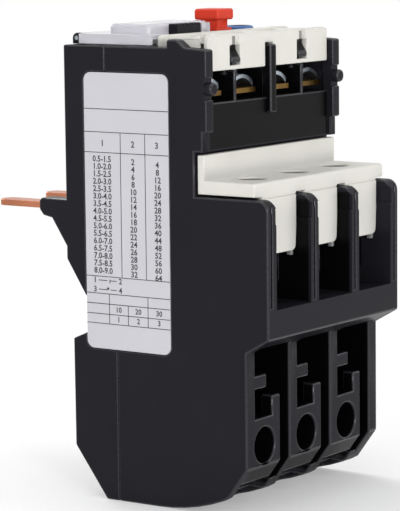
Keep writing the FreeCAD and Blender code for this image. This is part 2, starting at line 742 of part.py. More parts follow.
def front_panel():
    """Dark plate that closes the mechanism room and guides the dial, the buttons and the test lever."""
    width = BODY_WIDTH - 2 * SIDE_WALL - 2 * FIT_GAP
    low = SIDE_HEIGHT - PANEL_THICK
    panel = slab(width, AUX_COVER_BACK + 2 * FIT_GAP, PANEL_BACK, low, SIDE_HEIGHT)
    adds = [
        guide_well(STOP_X, STOP_DEPTH, STOP_WIDTH, STOP_DEEP),
        rod(RESET_RADIUS + BUTTON_GAP + SLEEVE_WALL, RESET_X, RESET_DEPTH, SLEEVE_LOW, low + 0.1),
        rod(DIAL_STEM_RADIUS + STEM_WALL, DIAL_X, DIAL_DEPTH, low - STEM_HIGH, low + 0.1),
    ]
    for x in LUG_X:
        lug = [
            (PANEL_BACK, SIDE_HEIGHT + FIT_GAP),
            (PANEL_BACK, SIDE_HEIGHT - 0.5),
            (HINGE_DEPTH - LUG_LEAD, SIDE_HEIGHT - 0.5),
        ] + arc_points((HINGE_DEPTH, HINGE_HEIGHT), LUG_ROUND, LUG_START, 0, 6) + [
            (HINGE_DEPTH + LUG_ROUND, SIDE_HEIGHT + FIT_GAP),
        ]
        adds.append(side_prism(lug, x - LUG_THICK / 2, x + LUG_THICK / 2))
    cuts = button_holes(low) + window_cuts(low)
    return cut(fuse([panel] + adds), cuts)


def button_holes(low):
    """Holes of the front panel for the stop button, the reset button and the dial."""
    over = SIDE_HEIGHT + 1
    floor = SLEEVE_LOW + SLEEVE_FLOOR
    half = STOP_WIDTH / 2 + BUTTON_GAP
    reach = STOP_DEEP / 2 + BUTTON_GAP
    pin = PLUNGER_RADIUS + PIN_GAP
    return [
        slab(BODY_WIDTH, AUX_FRONT, MECHANISM_FRONT + FIT_GAP, SLEEVE_LOW - 1, low),
        box(STOP_X - half, STOP_X + half, STOP_DEPTH - reach, STOP_DEPTH + reach, floor, over),
        rod(pin, STOP_X, STOP_DEPTH, SLEEVE_LOW - 1, floor + 1),
        rod(RESET_RADIUS + BUTTON_GAP, RESET_X, RESET_DEPTH, floor, over),
        rod(pin, RESET_X, RESET_DEPTH, SLEEVE_LOW - 1, floor + 1),
        rod(DIAL_RADIUS + RUN_GAP, DIAL_X, DIAL_DEPTH, SIDE_HEIGHT - DIAL_WELL, over),
        rod(DIAL_STEM_RADIUS + PIN_GAP, DIAL_X, DIAL_DEPTH, low - 3, SIDE_HEIGHT),
    ]


def window_cuts(low):
    """Slots of the front panel for the flag and the test lever, and the bore of the lid pin."""
    over = SIDE_HEIGHT + 1
    flag = FLAG_WIDTH / 2
    flag_deep = FLAG_DEEP / 2 + RUN_GAP
    stem = LEVER_STEM / 2 + RUN_GAP
    stem_deep = LEVER_STEM_DEEP / 2 + RUN_GAP
    return [
        box(FLAG_X - flag - FLAG_ROOM, FLAG_X + flag + FLAG_SWING,
            FLAG_DEPTH - flag_deep, FLAG_DEPTH + flag_deep, low - 1, over),
        box(LEVER_X - stem - LEVER_TRAVEL, LEVER_X + stem,
            STEM_DEPTH - stem_deep, STEM_DEPTH + stem_deep, low - 1, over),
        rod_across(LID_PIN_RADIUS + FIT_GAP / 5, LID_LEFT - 1, LID_RIGHT + 1, HINGE_DEPTH, HINGE_HEIGHT),
    ]


def lid():
    """Clear hinged lid: a plate with a left skirt, a raised window and a barrel on the hinge pin."""
    top = LID_TOP
    low = top - LID_THICK
    outline = [
        (LID_LEFT, LID_FRONT),
        (LID_NOTCH, LID_FRONT),
        (LID_NOTCH, LID_WINDOW_FRONT),
        (LID_TAB_LEFT, LID_WINDOW_FRONT),
        (LID_TAB_LEFT, LID_TAB_FRONT),
        (LID_TAB_RIGHT, LID_TAB_FRONT),
        (LID_TAB_RIGHT, LID_WINDOW_FRONT),
        (LID_RIGHT, LID_WINDOW_FRONT),
        (LID_RIGHT, HINGE_DEPTH),
        (LID_LEFT, HINGE_DEPTH),
    ]
    plate = plan_prism(outline, low, top)
    skirt_back = HINGE_DEPTH - LID_TAIL + FIT_GAP
    skirt = box(LID_LEFT, LID_LEFT + LID_THICK, LID_FRONT, skirt_back, SIDE_HEIGHT + LEVER_LIFT, top)
    window = box(LID_WINDOW_LEFT, LID_RIGHT, LID_WINDOW_FRONT, LID_WINDOW_BACK, low, LID_WINDOW_TOP)
    rims = [e for e in window.Edges if e.BoundBox.ZMax > low + 0.1]
    window = window.makeFillet(LID_WINDOW_ROUND, rims)
    room = box(LID_WINDOW_LEFT + LID_THICK, LID_RIGHT - LID_THICK, LID_WINDOW_FRONT + LID_THICK,
               LID_WINDOW_BACK - LID_THICK, low - 1, LID_WINDOW_TOP - LID_THICK)
    tab = box(LID_TAB_LEFT, LID_TAB_RIGHT, LID_TAB_FRONT, LID_WINDOW_FRONT + 1, low,
              LID_WINDOW_TOP - LID_TAB_DROP)
    barrel_left = LUG_X[0] + LUG_THICK / 2 + FIT_GAP
    barrel_right = LUG_X[1] - LUG_THICK / 2 - FIT_GAP
    barrel = rod_across(BARREL_RADIUS, barrel_left, barrel_right, HINGE_DEPTH, HINGE_HEIGHT)
    gaps = []
    for x0, x1 in ((LID_LEFT - 1, barrel_left), (barrel_right, LID_RIGHT + 1)):
        gaps.append(box(x0, x1, HINGE_DEPTH - LID_TAIL, HINGE_DEPTH + 2, low - 2, top + 2))
    radius = LID_PIN_RADIUS + PIN_GAP
    bore = rod_across(radius, LID_LEFT - 1, LID_RIGHT + 1, HINGE_DEPTH, HINGE_HEIGHT)
    shape = fuse([plate, skirt, window, tab]).cut(fuse([room] + gaps))
    return cut(fuse([shape, barrel]), [bore])


def lid_pin():
    """Steel hinge pin through both lugs of the panel and the barrel of the lid."""
    half = LUG_THICK / 2
    return rod_across(LID_PIN_RADIUS, LUG_X[0] - half, LUG_X[1] + half, HINGE_DEPTH, HINGE_HEIGHT)


def setting_dial():
    """Dial disc with a screwdriver slot, its stem and the spiral cam below the panel."""
    low = SIDE_HEIGHT - DIAL_WELL + RUN_GAP / 3
    top = low + DIAL_THICK
    disc = rod(DIAL_RADIUS, DIAL_X, DIAL_DEPTH, low, top)
    disc = disc.makeChamfer(RIM_BEVEL, [e for e in disc.Edges if e.BoundBox.ZMin > top - 0.01])
    boss = rod(DIAL_BOSS_RADIUS, DIAL_X, DIAL_DEPTH, top - 0.1, top + DIAL_BOSS)
    stem = rod(DIAL_STEM_RADIUS, DIAL_X, DIAL_DEPTH, CAM_LOW, low + 0.1)
    half = SLOT_WIDE / 2
    slot = slab(2 * DIAL_BOSS_RADIUS - 1, DIAL_DEPTH - half, DIAL_DEPTH + half, top - RIM_BEVEL,
                top + 5, DIAL_X)
    spiral = []
    for k in range(CAM_STEPS + 1):
        turn = math.radians(CAM_SWEEP * k / CAM_STEPS)
        reach = CAM_RADIUS + CAM_RISE * k / CAM_STEPS
        spiral.append((DIAL_X + reach * math.cos(turn), DIAL_DEPTH + reach * math.sin(turn)))
    cam = plan_prism(spiral, CAM_LOW, CAM_LOW + CAM_THICK)
    return cut(fuse([disc, boss, stem, cam]), [slot])


def coil_spring(x, depth, z0, z1, radius, turns):
    """Helical wire spring standing along Z, lofted through six-sided sections of the wire."""
    wire = SPRING_WIRE
    steps = SPRING_STEPS * turns
    rise = z1 - z0 - 2 * wire
    sections = []
    for k in range(steps + 1):
        turn = 2 * math.pi * k / SPRING_STEPS
        ring = []
        for a in range(6):
            reach = radius + wire * math.cos(math.pi * a / 3)
            z = z0 + wire + rise * k / steps + wire * math.sin(math.pi * a / 3)
            y = at(depth) + reach * math.sin(turn)
            ring.append(FreeCAD.Vector(x + reach * math.cos(turn), y, z))
        sections.append(Part.makePolygon(ring + ring[:1]))
    return Part.makeLoft(sections, True, True)


def stop_button():
    """Red stop button: a T-shaped head on a neck, a square shoulder in the sleeve and a push rod."""
    x = STOP_X
    d = STOP_DEPTH
    head = slab(HEAD_WIDTH, d - HEAD_DEEP / 2, d + HEAD_DEEP / 2, HEAD_LOW, HEAD_TOP, x)
    head = head.makeFillet(HEAD_ROUND, head.Edges)
    neck = slab(NECK_WIDTH, d - NECK_DEEP / 2, d + NECK_DEEP / 2, SHOULDER_TOP - 0.1,
                HEAD_LOW + HEAD_ROUND + 0.1, x)
    shoulder = slab(STOP_WIDTH, d - STOP_DEEP / 2, d + STOP_DEEP / 2, SHOULDER_LOW, SHOULDER_TOP, x)
    push = rod(PLUNGER_RADIUS, x, d, STOP_FOOT, SHOULDER_LOW + 0.1)
    return fuse([head, neck, shoulder, push])


def reset_plunger():
    """Sliding core of the reset button; the blue cap turns on its upper stub."""
    core = rod(RESET_RADIUS - RUN_GAP, RESET_X, RESET_DEPTH, SHOULDER_LOW, RESET_CAP_LOW - FIT_GAP)
    stub = rod(STUB_RADIUS, RESET_X, RESET_DEPTH, RESET_CAP_LOW - 0.2, RESET_TOP - CAP_ROOF - FIT_GAP)
    push = rod(PLUNGER_RADIUS, RESET_X, RESET_DEPTH, RESET_FOOT, SHOULDER_LOW + 0.1)
    return fuse([core, stub, push])


def reset_cap():
    """Blue cap, pressed to reset and turned between manual and automatic."""
    cap = rod(RESET_RADIUS, RESET_X, RESET_DEPTH, RESET_CAP_LOW, RESET_TOP)
    cap = cap.makeChamfer(RIM_BEVEL, [e for e in cap.Edges if e.BoundBox.ZMin > RESET_TOP - 0.01])
    bore = rod(STUB_RADIUS + PIN_GAP, RESET_X, RESET_DEPTH, RESET_CAP_LOW - 1, RESET_TOP - CAP_ROOF)
    half = SLOT_WIDE / 2
    slot = slab(RESET_RADIUS * 1.5, RESET_DEPTH - half, RESET_DEPTH + half,
                RESET_TOP - CAP_SLOT_DEEP, RESET_TOP + 1, RESET_X)
    return cut(cap, [bore, slot])


def test_lever():
    """Black ribbed slider beside the lid, with a stem through the panel."""
    x0 = LEVER_X - LEVER_WIDTH / 2
    front = LEVER_DEPTH - LEVER_DEEP / 2
    body = box(x0, x0 + LEVER_WIDTH, front, front + LEVER_DEEP, SIDE_HEIGHT + LEVER_LIFT, LEVER_TOP)
    grooves = []
    pitch = LEVER_WIDTH / LEVER_RIBS
    for k in range(1, LEVER_RIBS):
        grooves.append(slab(pitch * 0.4, front - 1, front + LEVER_DEEP + 1, LEVER_TOP - LEVER_GROOVE,
                            LEVER_TOP + 1, x0 + k * pitch))
    stem = box(LEVER_X - LEVER_STEM / 2, LEVER_X + LEVER_STEM / 2, STEM_DEPTH - LEVER_STEM_DEEP / 2,
               STEM_DEPTH + LEVER_STEM_DEEP / 2, LEVER_FOOT, SIDE_HEIGHT + 0.5)
    return cut(fuse([body, stem]), grooves)


# ---- current path ----------------------------------------------------------------------------
def line_bar(x):
    """Copper bar of one pole, from its rounded tip to the leg that meets the heater winding."""
    low = BAR_HEIGHT - BAR_THICK / 2
    high = BAR_HEIGHT + BAR_THICK / 2
    leg_front = STRIP_DEPTH + STRIP_WIDTH / 2 + WINDING_FIT + WINDING_WALL + WINDING_RIB
    flat = slab(BAR_WIDTH, leg_front, TOTAL_DEPTH, low, high, x)
    tips = edges_along(flat, FreeCAD.Vector(0, 0, 1), lambda p: p.y > at(TOTAL_DEPTH - 0.1))
    flat = flat.makeFillet(BAR_WIDTH * 0.4, tips)
    leg = slab(BAR_WIDTH, leg_front, leg_front + BAR_THICK, low - BAR_LEG, high, x)
    return fuse([flat, leg])


def bimetal(x):
    """Bimetal strip of one pole, standing on the load plate, its free tip in the slide bars."""
    return box(x - STRIP_THICK / 2, x + STRIP_THICK / 2, STRIP_DEPTH - STRIP_WIDTH / 2,
               STRIP_DEPTH + STRIP_WIDTH / 2, STRIP_FOOT, STRIP_TOP)


def heater(x):
    """Heater ribbon wound round the strip on its insulating sleeve."""
    half = STRIP_THICK / 2 + WINDING_FIT
    reach = STRIP_WIDTH / 2 + WINDING_FIT
    sleeve = box(x - half - WINDING_WALL, x + half + WINDING_WALL, STRIP_DEPTH - reach - WINDING_WALL,
                 STRIP_DEPTH + reach + WINDING_WALL, WINDING_LOW, WINDING_HIGH)
    pitch = (WINDING_HIGH - WINDING_LOW) / WINDING_TURNS
    turns = []
    grow = WINDING_WALL + WINDING_RIB
    for k in range(WINDING_TURNS):
        z = WINDING_LOW + (k + 0.2) * pitch
        turns.append(slab(2 * (half + grow), STRIP_DEPTH - reach - grow, STRIP_DEPTH + reach + grow,
                          z, z + pitch * 0.6, x))
    bore = slab(2 * half, STRIP_DEPTH - reach, STRIP_DEPTH + reach, WINDING_LOW - 1, WINDING_HIGH + 1, x)
    return cut(fuse([sleeve] + turns), [bore])


def load_plate(x):
    """Bent terminal plate from the foot of the bimetal up the chamber wall and out under the screw."""
    t = LOAD_PLATE
    back = STRIP_DEPTH + STRIP_WIDTH / 2
    riser = CHAMBER_FRONT + RUN_GAP
    top = LOAD_HEIGHT + t
    outline = [
        (back, STRIP_FOOT),
        (back, STRIP_FOOT - t),
        (riser, STRIP_FOOT - t),
        (riser, LOAD_HEIGHT),
        (LOAD_FRONT, LOAD_HEIGHT),
        (LOAD_FRONT, top),
        (riser + t, top),
        (riser + t, STRIP_FOOT),
    ]
    return side_prism(outline, x - LOAD_WIDTH / 2, x + LOAD_WIDTH / 2)


def load_clamp(x):
    """Zinc-plated cage round the plate; the screw in its roof pulls its floor up on the cable."""
    front = SCREW_DEPTH - CLAMP_DEEP / 2
    back = SCREW_DEPTH + CLAMP_DEEP / 2
    outer = slab(CLAMP_WIDTH, front, back, CLAMP_LOW, CLAMP_HIGH, x)
    inner = slab(CLAMP_WIDTH - 2 * CLAMP_WALL, front - 1, back + 1, CLAMP_LOW + CLAMP_WALL,
                 CLAMP_HIGH - CLAMP_WALL, x)
    thread = rod(SCREW_RADIUS + PIN_GAP, x, SCREW_DEPTH, CLAMP_HIGH - 2, CLAMP_HIGH + 1)
    return cut(outer, [inner, thread])


def slotted_screw(x, depth, head_radius, shank_radius, seat, head_high, length):
    """Cheese-head screw with a cross slot, its head standing on the seat height."""
    top = seat + head_high
    head = rod(head_radius, x, depth, seat, top)
    head = head.makeChamfer(SCREW_CHAMFER, [e for e in head.Edges if e.BoundBox.ZMin > top - 0.01])
    shank = rod(shank_radius, x, depth, seat - length, seat + 0.1)
    half = SCREW_SLOT / 2
    arm = head_radius * SCREW_CROSS
    along = slab(2 * head_radius + 1, depth - half, depth + half, top - head_high / 2, top + 1, x)
    across = slab(SCREW_SLOT, depth - arm, depth + arm, top - head_high / 2, top + 1, x)
    return cut(fuse([head, shank]), [along, across])


def aux_x():
    return [AUX_PITCH * (k - 1.5) for k in range(4)]


def aux_plate(x):
    """Brass terminal plate lying on the floor of the terminal row."""
    low = AUX_PLATE_TOP - AUX_PLATE
    plate = slab(AUX_CLAMP_WIDTH - 0.8, AUX_FRONT + 1.6, AUX_BACK, low, AUX_PLATE_TOP, x)
    foot = slab(AUX_CLAMP_WIDTH - 3.0, AUX_BACK - 2.0, AUX_BACK, AUX_FLOOR, low + 0.1, x)
    hole = rod(AUX_SCREW_RADIUS + FIT_GAP, x, AUX_SCREW_DEPTH, low - 1, AUX_PLATE_TOP + 1)
    return cut(fuse([plate, foot]), [hole])


def aux_clamp(x):
    """Arched square clamp washer, bent so that its two wings press on the wires."""
    half = AUX_CLAMP_WIDTH / 2
    low = AUX_PLATE_TOP
    t = AUX_CLAMP_THICK
    rise = AUX_CLAMP_RISE
    radius = (half * half + rise * rise) / (2 * rise)
    centre = (x, low + rise - radius)
    swing = math.degrees(math.asin(half / radius))
    wide = math.degrees(math.asin(half / (radius + t)))
    upper = arc_points(centre, radius + t, 90 + wide, 90 - wide, 8)
    lower = arc_points(centre, radius, 90 - swing, 90 + swing, 8)
    band = front_prism(upper + lower, AUX_SCREW_DEPTH - half, AUX_SCREW_DEPTH + half)
    return cut(band, [rod(AUX_SCREW_RADIUS + FIT_GAP, x, AUX_SCREW_DEPTH, low - 1, low + rise + 2)])


# ---- trip mechanism --------------------------------------------------------------------------
def slide_bar(level):
    """Insulating bar pushed by the tips of the three bimetals."""
    low = BAR_LOW + level * (BAR_PLATE + BAR_LEVEL_GAP)
    right = ROCKER_X - COMPENSATOR_THICK / 2 - RUN_GAP - level * AUX_BAR_SHORT
    front = STRIP_DEPTH - BAR_DEEP / 2
    bar = box(BAR_LEFT, right, front, front + BAR_DEEP, low, low + BAR_PLATE)
    notch = STRIP_THICK / 2 + RUN_GAP
    slots = []
    for x in POLE_X:
        slots.append(box(x - notch - TRIP_TRAVEL, x + notch, STRIP_DEPTH - STRIP_WIDTH / 2 - RUN_GAP / 2,
                         front + BAR_DEEP + 1, low - 1, low + BAR_PLATE + 1))
    return cut(bar, slots)


def mechanism_frame():
    """Upright frame plate behind the slide bars that carries the pivots and the fixed contacts."""
    half = HALF_WIDTH - SIDE_WALL - FIT_GAP
    back = FRAME_FRONT + FRAME_THICK
    plate = box(-half, half, FRAME_FRONT, back, MECHANISM_FLOOR, FRAME_TOP)
    foot = []
    for x in POLE_X[:-1]:
        mid = x + POLE_PITCH / 2
        foot.append(slab(PARTITION, FRAME_FRONT, back, MECHANISM_FLOOR, MECHANISM_FLOOR + 1, mid))
    near = min(FRAME_FRONT, DIAL_DEPTH - FOLLOWER_DEEP / 2)
    far = max(back, DIAL_DEPTH + FOLLOWER_DEEP / 2)
    for x in FOLLOWER_PEGS:
        foot.append(slab(FOLLOWER_DEEP, near, far, FRAME_TOP - 1.0, FOLLOWER_LOW - FIT_GAP / 2, x))
        foot.append(rod(PEG_PIN_RADIUS, x, DIAL_DEPTH, FRAME_TOP, FOLLOWER_LOW + FOLLOWER_THICK + RUN_GAP))
    holes = [
        rod_deep(PIVOT_RADIUS + PIN_GAP, ROCKER_X, ROCKER_Z, FRAME_FRONT - 1, FRAME_FRONT + 3),
        rod_deep(PIVOT_RADIUS + PIN_GAP, ARM_X, ARM_Z, FRAME_FRONT - 1, FRAME_FRONT + 3),
    ]
    return cut(fuse([plate] + foot), holes)


def pivot_pin(x, z):
    """Steel pin held by the frame plate at the back and by the housing wall at the front."""
    return rod_deep(PIVOT_RADIUS, x, z, MECHANISM_FRONT - PIVOT_SEAT, FRAME_FRONT + FRAME_THICK)


def trip_rocker():
    """Moulded bell-crank: its hub turns on the pin, its long arm presses the contact arm."""
    front = STRIP_DEPTH - BAR_DEEP / 2 + RUN_GAP
    back = FRAME_FRONT - RUN_GAP
    hub = rod_deep(ROCKER_HUB, ROCKER_X, ROCKER_Z, front, back)
    low = ROCKER_Z - ROCKER_THICK / 2
    arm = box(ROCKER_NOSE_X, ROCKER_X, front, back, low, low + ROCKER_THICK)
    foot = ARM_Z + ARM_THICK / 2 + FIT_GAP
    nose = box(ROCKER_NOSE_X, ROCKER_NOSE_X + 1.0, front, back, foot, low + 0.1)
    bore = rod_deep(PIVOT_RADIUS + PIN_GAP, ROCKER_X, ROCKER_Z, front - 1, back + 1)
    return cut(fuse([hub, arm, nose]), [bore, compensator()])


def compensator():
    """Bimetal blade below the hub that cancels the effect of room temperature."""
    front = STRIP_DEPTH - BAR_DEEP / 2 + RUN_GAP
    back = FRAME_FRONT - RUN_GAP
    half = COMPENSATOR_THICK / 2
    top = ROCKER_Z - ROCKER_HUB + COMPENSATOR_SEAT
    return box(ROCKER_X - half, ROCKER_X + half, front, back, BAR_LOW + 0.2, top)


def contact_arm():
    """Springy arm on the second pin, with a silver button on both faces of its left end."""
    front = FLAG_DEPTH - ARM_DEEP / 2
    back = FLAG_DEPTH + ARM_DEEP / 2
    low = ARM_Z - ARM_THICK / 2
    blade = box(ARM_X - ARM_LEFT, ARM_X + ARM_RIGHT, front, back, low, low + ARM_THICK)
    hub = rod_deep(PIVOT_RADIUS + 0.6, ARM_X, ARM_Z, front, back)
    bore = rod_deep(PIVOT_RADIUS + PIN_GAP, ARM_X, ARM_Z, front - 1, back + 1)
    return cut(fuse([blade, hub]), [bore])


def moving_contacts():
    low = ARM_Z - ARM_THICK / 2
    return group([
        rod(CONTACT_RADIUS, CONTACT_X, FLAG_DEPTH, low - CONTACT_HIGH, low),
        rod(CONTACT_RADIUS, CONTACT_X, FLAG_DEPTH, low + ARM_THICK, low + ARM_THICK + CONTACT_HIGH),
    ])


def fixed_contact(upper):
    """Brass strip on the frame plate with its silver button facing the contact arm."""
    half = ARM_THICK / 2 + CONTACT_HIGH
    front = FLAG_DEPTH - ARM_DEEP / 2
    if upper:
        face = ARM_Z + half + CONTACT_LIFT + 0.2
        button = rod(CONTACT_RADIUS, CONTACT_X, FLAG_DEPTH, face, face + CONTACT_HIGH + 0.1)
        z = face + CONTACT_HIGH
    else:
        face = ARM_Z - half - FIT_GAP
        button = rod(CONTACT_RADIUS, CONTACT_X, FLAG_DEPTH, face - CONTACT_HIGH - 0.1, face)
        z = face - CONTACT_HIGH - CONTACT_STRIP
    strip = box(CONTACT_X - CONTACT_RADIUS - FIT_GAP, CONTACT_X + CONTACT_REACH, front, FRAME_FRONT,
                z, z + CONTACT_STRIP)
    return fuse([strip, button])


def trip_flag():
    """Green flag on the end of the contact arm, seen through the slot in the panel."""
    low = ARM_Z + ARM_THICK / 2
    top = SIDE_HEIGHT - PANEL_THICK - 0.2
    return slab(FLAG_WIDTH, FLAG_DEPTH - FLAG_DEEP / 2, FLAG_DEPTH + FLAG_DEEP / 2, low, top, FLAG_X)


def cam_follower():
    """Bar that the dial's spiral cam pushes sideways, guided by two pegs of the frame plate."""
    half = FOLLOWER_DEEP / 2
    x0 = DIAL_X + CAM_RADIUS + RUN_GAP
    top = FOLLOWER_LOW + FOLLOWER_THICK
    bar = box(x0, FOLLOWER_RIGHT, DIAL_DEPTH - half, DIAL_DEPTH + half, FOLLOWER_LOW, top)
    slots = []
    wide = PEG_PIN_RADIUS + PIN_GAP
    for x in FOLLOWER_PEGS:
        slots.append(rod(wide, x, DIAL_DEPTH, FOLLOWER_LOW - 1, top + 1))
        slots.append(rod(wide, x - CAM_RISE, DIAL_DEPTH, FOLLOWER_LOW - 1, top + 1))
        slots.append(box(x - CAM_RISE, x, DIAL_DEPTH - wide, DIAL_DEPTH + wide, FOLLOWER_LOW - 1, top + 1))
    return cut(bar, slots)


# ---- every piece, under the name of its node -------------------------------------------------
def build():
    keep("main_housing", main_housing())
    keep("rear_housing", rear_housing())
    keep("terminal_cover", terminal_cover())
    keep("aux_cover", aux_cover())
    keep("front_panel", front_panel())
    keep("label_plate", label_plate(0.0))
    keep("lid", lid())
    keep("lid_pin", lid_pin())
    keep("setting_dial", setting_dial())
    keep("cam_follower", cam_follower())
    keep("stop_button", stop_button())
    keep("reset_plunger", reset_plunger())
    keep("reset_cap", reset_cap())
    keep("test_lever", test_lever())
    low = SLEEVE_LOW + SLEEVE_FLOOR
    for name, x, depth in (("stop_spring", STOP_X, STOP_DEPTH), ("reset_spring", RESET_X, RESET_DEPTH)):
        keep(name, coil_spring(x, depth, low, SHOULDER_LOW, SPRING_RADIUS, SPRING_TURNS))
    for k, x in enumerate(POLE_X):
        n = str(k + 1)
        keep("line_bar_" + n, line_bar(x))
        keep("bimetal_" + n, bimetal(x))
        keep("heater_" + n, heater(x))
        keep("load_plate_" + n, load_plate(x))
        keep("load_clamp_" + n, load_clamp(x))
    seat = CLAMP_HIGH + SCREW_LIFT
    length = seat - LOAD_HEIGHT - LOAD_PLATE
    keep("load_screws", group([
        slotted_screw(x, SCREW_DEPTH, SCREW_HEAD_RADIUS, SCREW_RADIUS, seat, SCREW_HEAD_HIGH, length)
        for x in POLE_X]))
    for k, x in enumerate(aux_x()):
        keep("aux_plate_" + str(k + 1), aux_plate(x))
    keep("aux_clamps", group([aux_clamp(x) for x in aux_x()]))
    seat = AUX_PLATE_TOP + AUX_CLAMP_RISE + AUX_CLAMP_THICK
    length = seat - AUX_FLOOR - RUN_GAP
    keep("aux_screws", group([
        slotted_screw(x, AUX_SCREW_DEPTH, AUX_HEAD_RADIUS, AUX_SCREW_RADIUS, seat, AUX_HEAD_HIGH, length)
        for x in aux_x()]))
    keep("main_slide", slide_bar(0))
    keep("aux_slide", slide_bar(1))
    keep("mechanism_frame", mechanism_frame())
    keep("rocker_pin", pivot_pin(ROCKER_X, ROCKER_Z))
    keep("arm_pin", pivot_pin(ARM_X, ARM_Z))
    keep("trip_rocker", trip_rocker())
    keep("compensator", compensator())
    keep("contact_arm", contact_arm())
    keep("moving_contacts", moving_contacts())
    keep("nc_contact", fixed_contact(False))
    keep("no_contact", fixed_contact(True))
    keep("trip_flag", trip_flag())


build()
os.makedirs("parts", exist_ok=True)
for name, shape in PARTS.items():
    shape.exportStep("parts/" + name + ".step")
    print(name, len(shape.Solids), shape.isValid(), round(shape.Volume, 1))
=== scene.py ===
# %% [markdown]
# # A thermal overload relay
# The relay is a stack of mouldings: two charcoal shells that hold the copper, a white cover
# over the load screws, a second white cover over the control screws, and a dark panel with
# a dial, two buttons and a clear lid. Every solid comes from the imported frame. This file
# gives each one its finish, and adds what a mould, a printing plate or a press would add.

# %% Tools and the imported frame
import json
import math
import bmesh
import bpy
import numpy as np
from mathutils import Matrix, Vector

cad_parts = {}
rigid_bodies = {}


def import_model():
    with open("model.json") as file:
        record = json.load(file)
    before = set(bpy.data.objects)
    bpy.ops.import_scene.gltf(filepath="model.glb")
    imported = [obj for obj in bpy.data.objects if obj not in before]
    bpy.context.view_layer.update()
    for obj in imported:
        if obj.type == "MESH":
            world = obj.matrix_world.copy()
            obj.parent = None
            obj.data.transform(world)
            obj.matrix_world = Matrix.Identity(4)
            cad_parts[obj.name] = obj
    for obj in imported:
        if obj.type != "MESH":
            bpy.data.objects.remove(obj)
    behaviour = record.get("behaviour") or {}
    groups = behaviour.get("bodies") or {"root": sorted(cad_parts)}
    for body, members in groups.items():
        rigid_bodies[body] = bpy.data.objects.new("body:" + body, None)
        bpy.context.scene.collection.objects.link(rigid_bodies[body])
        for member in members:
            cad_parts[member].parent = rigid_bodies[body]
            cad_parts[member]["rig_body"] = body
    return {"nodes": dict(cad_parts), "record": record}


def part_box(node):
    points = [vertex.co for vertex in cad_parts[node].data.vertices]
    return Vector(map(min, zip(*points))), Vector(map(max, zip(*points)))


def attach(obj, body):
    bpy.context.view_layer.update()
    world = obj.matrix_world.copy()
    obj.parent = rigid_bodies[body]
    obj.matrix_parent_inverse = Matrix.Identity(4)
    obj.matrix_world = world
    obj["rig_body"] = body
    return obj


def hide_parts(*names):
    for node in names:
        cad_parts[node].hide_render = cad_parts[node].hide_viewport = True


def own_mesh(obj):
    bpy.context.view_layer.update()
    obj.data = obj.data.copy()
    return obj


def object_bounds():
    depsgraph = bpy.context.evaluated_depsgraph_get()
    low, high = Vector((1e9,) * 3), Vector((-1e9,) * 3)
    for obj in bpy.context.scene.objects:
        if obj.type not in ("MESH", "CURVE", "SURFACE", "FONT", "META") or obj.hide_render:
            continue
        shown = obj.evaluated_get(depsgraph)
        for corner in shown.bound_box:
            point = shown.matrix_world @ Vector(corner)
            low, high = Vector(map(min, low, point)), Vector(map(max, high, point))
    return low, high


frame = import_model()
cad_box = [list(corner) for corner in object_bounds()]
nodes = frame["nodes"]
MM = 0.001
print("nodes", len(nodes), "box in mm", [[round(v / MM, 2) for v in c] for c in cad_box])


# %% [markdown]
# ## The camera
# A small product is looked at from about half a metre with a long lens, so its upright
# edges stay nearly parallel. The camera stands to the left of the cable side, a little
# above the middle. Its three axes are worked out from two angles and a slight roll.

# %% The camera
SENSOR = 36.0
LENS = 185.1
EYE = Vector((-406.3, -287.25, 109.2)) * MM
AZIMUTH = math.radians(-55.02)
ELEVATION = math.radians(7.52)
ROLL = math.radians(-0.61)


def camera_axes(azimuth, elevation, roll):
    """Right, up and back axes: forward is (-sin a cos e, cos a cos e, -sin e), right is level."""
    forward = Vector((-math.sin(azimuth) * math.cos(elevation),
                      math.cos(azimuth) * math.cos(elevation),
                      -math.sin(elevation)))
    level = Vector((math.cos(azimuth), math.sin(azimuth), 0.0))
    down = -level.cross(forward)
    right = level * math.cos(roll) - down * math.sin(roll)
    lower = level * math.sin(roll) + down * math.cos(roll)
    return right, -lower, -forward


right, up, back = camera_axes(AZIMUTH, ELEVATION, ROLL)
camera_data = bpy.data.cameras.new("camera")
camera_data.lens = LENS
camera_data.sensor_width = SENSOR
camera_data.clip_start = 0.01
camera = bpy.data.objects.new("camera", camera_data)
bpy.context.scene.collection.objects.link(camera)
turn = Matrix((right, up, back)).transposed().to_4x4()
camera.matrix_world = Matrix.Translation(EYE) @ turn
bpy.context.scene.camera = camera
print("camera looks along", [round(v, 3) for v in -back])


# %% [markdown]
# ## Floor, world and lamps
# The relay stands on a pale table in a soft, even room. The world and the far floor are
# plain white to camera, glossy and transmission rays, so the background is white and metal
# and clear plastic show it too. The lamps stay weak enough for a colour to come out about
# as it is written, and near the relay the floor keeps its own light, and with it the shadow.

# %% Which rays see plain white
def link(tree, source, target):
    """Joins an output socket to an input socket."""
    tree.links.new(source, target)


def open_view(tree):
    """One for camera, glossy and transmission rays, and nought for the rays that carry light."""
    path = tree.nodes.new("ShaderNodeLightPath")
    seen = path.outputs["Is Camera Ray"]
    for kind in ("Is Glossy Ray", "Is Transmission Ray"):
        either = tree.nodes.new("ShaderNodeMath")
        either.operation = "MAXIMUM"
        link(tree, seen, either.inputs[0])
        link(tree, path.outputs[kind], either.inputs[1])
        seen = either.outputs[0]
    return seen


print("rays that see white: camera, glossy and transmission")


# %% The room
WORLD_GREY = (0.87, 0.88, 0.9, 1.0)
WORLD_LEVEL = 0.34
WHITE = (1.0, 1.0, 1.0, 1.0)

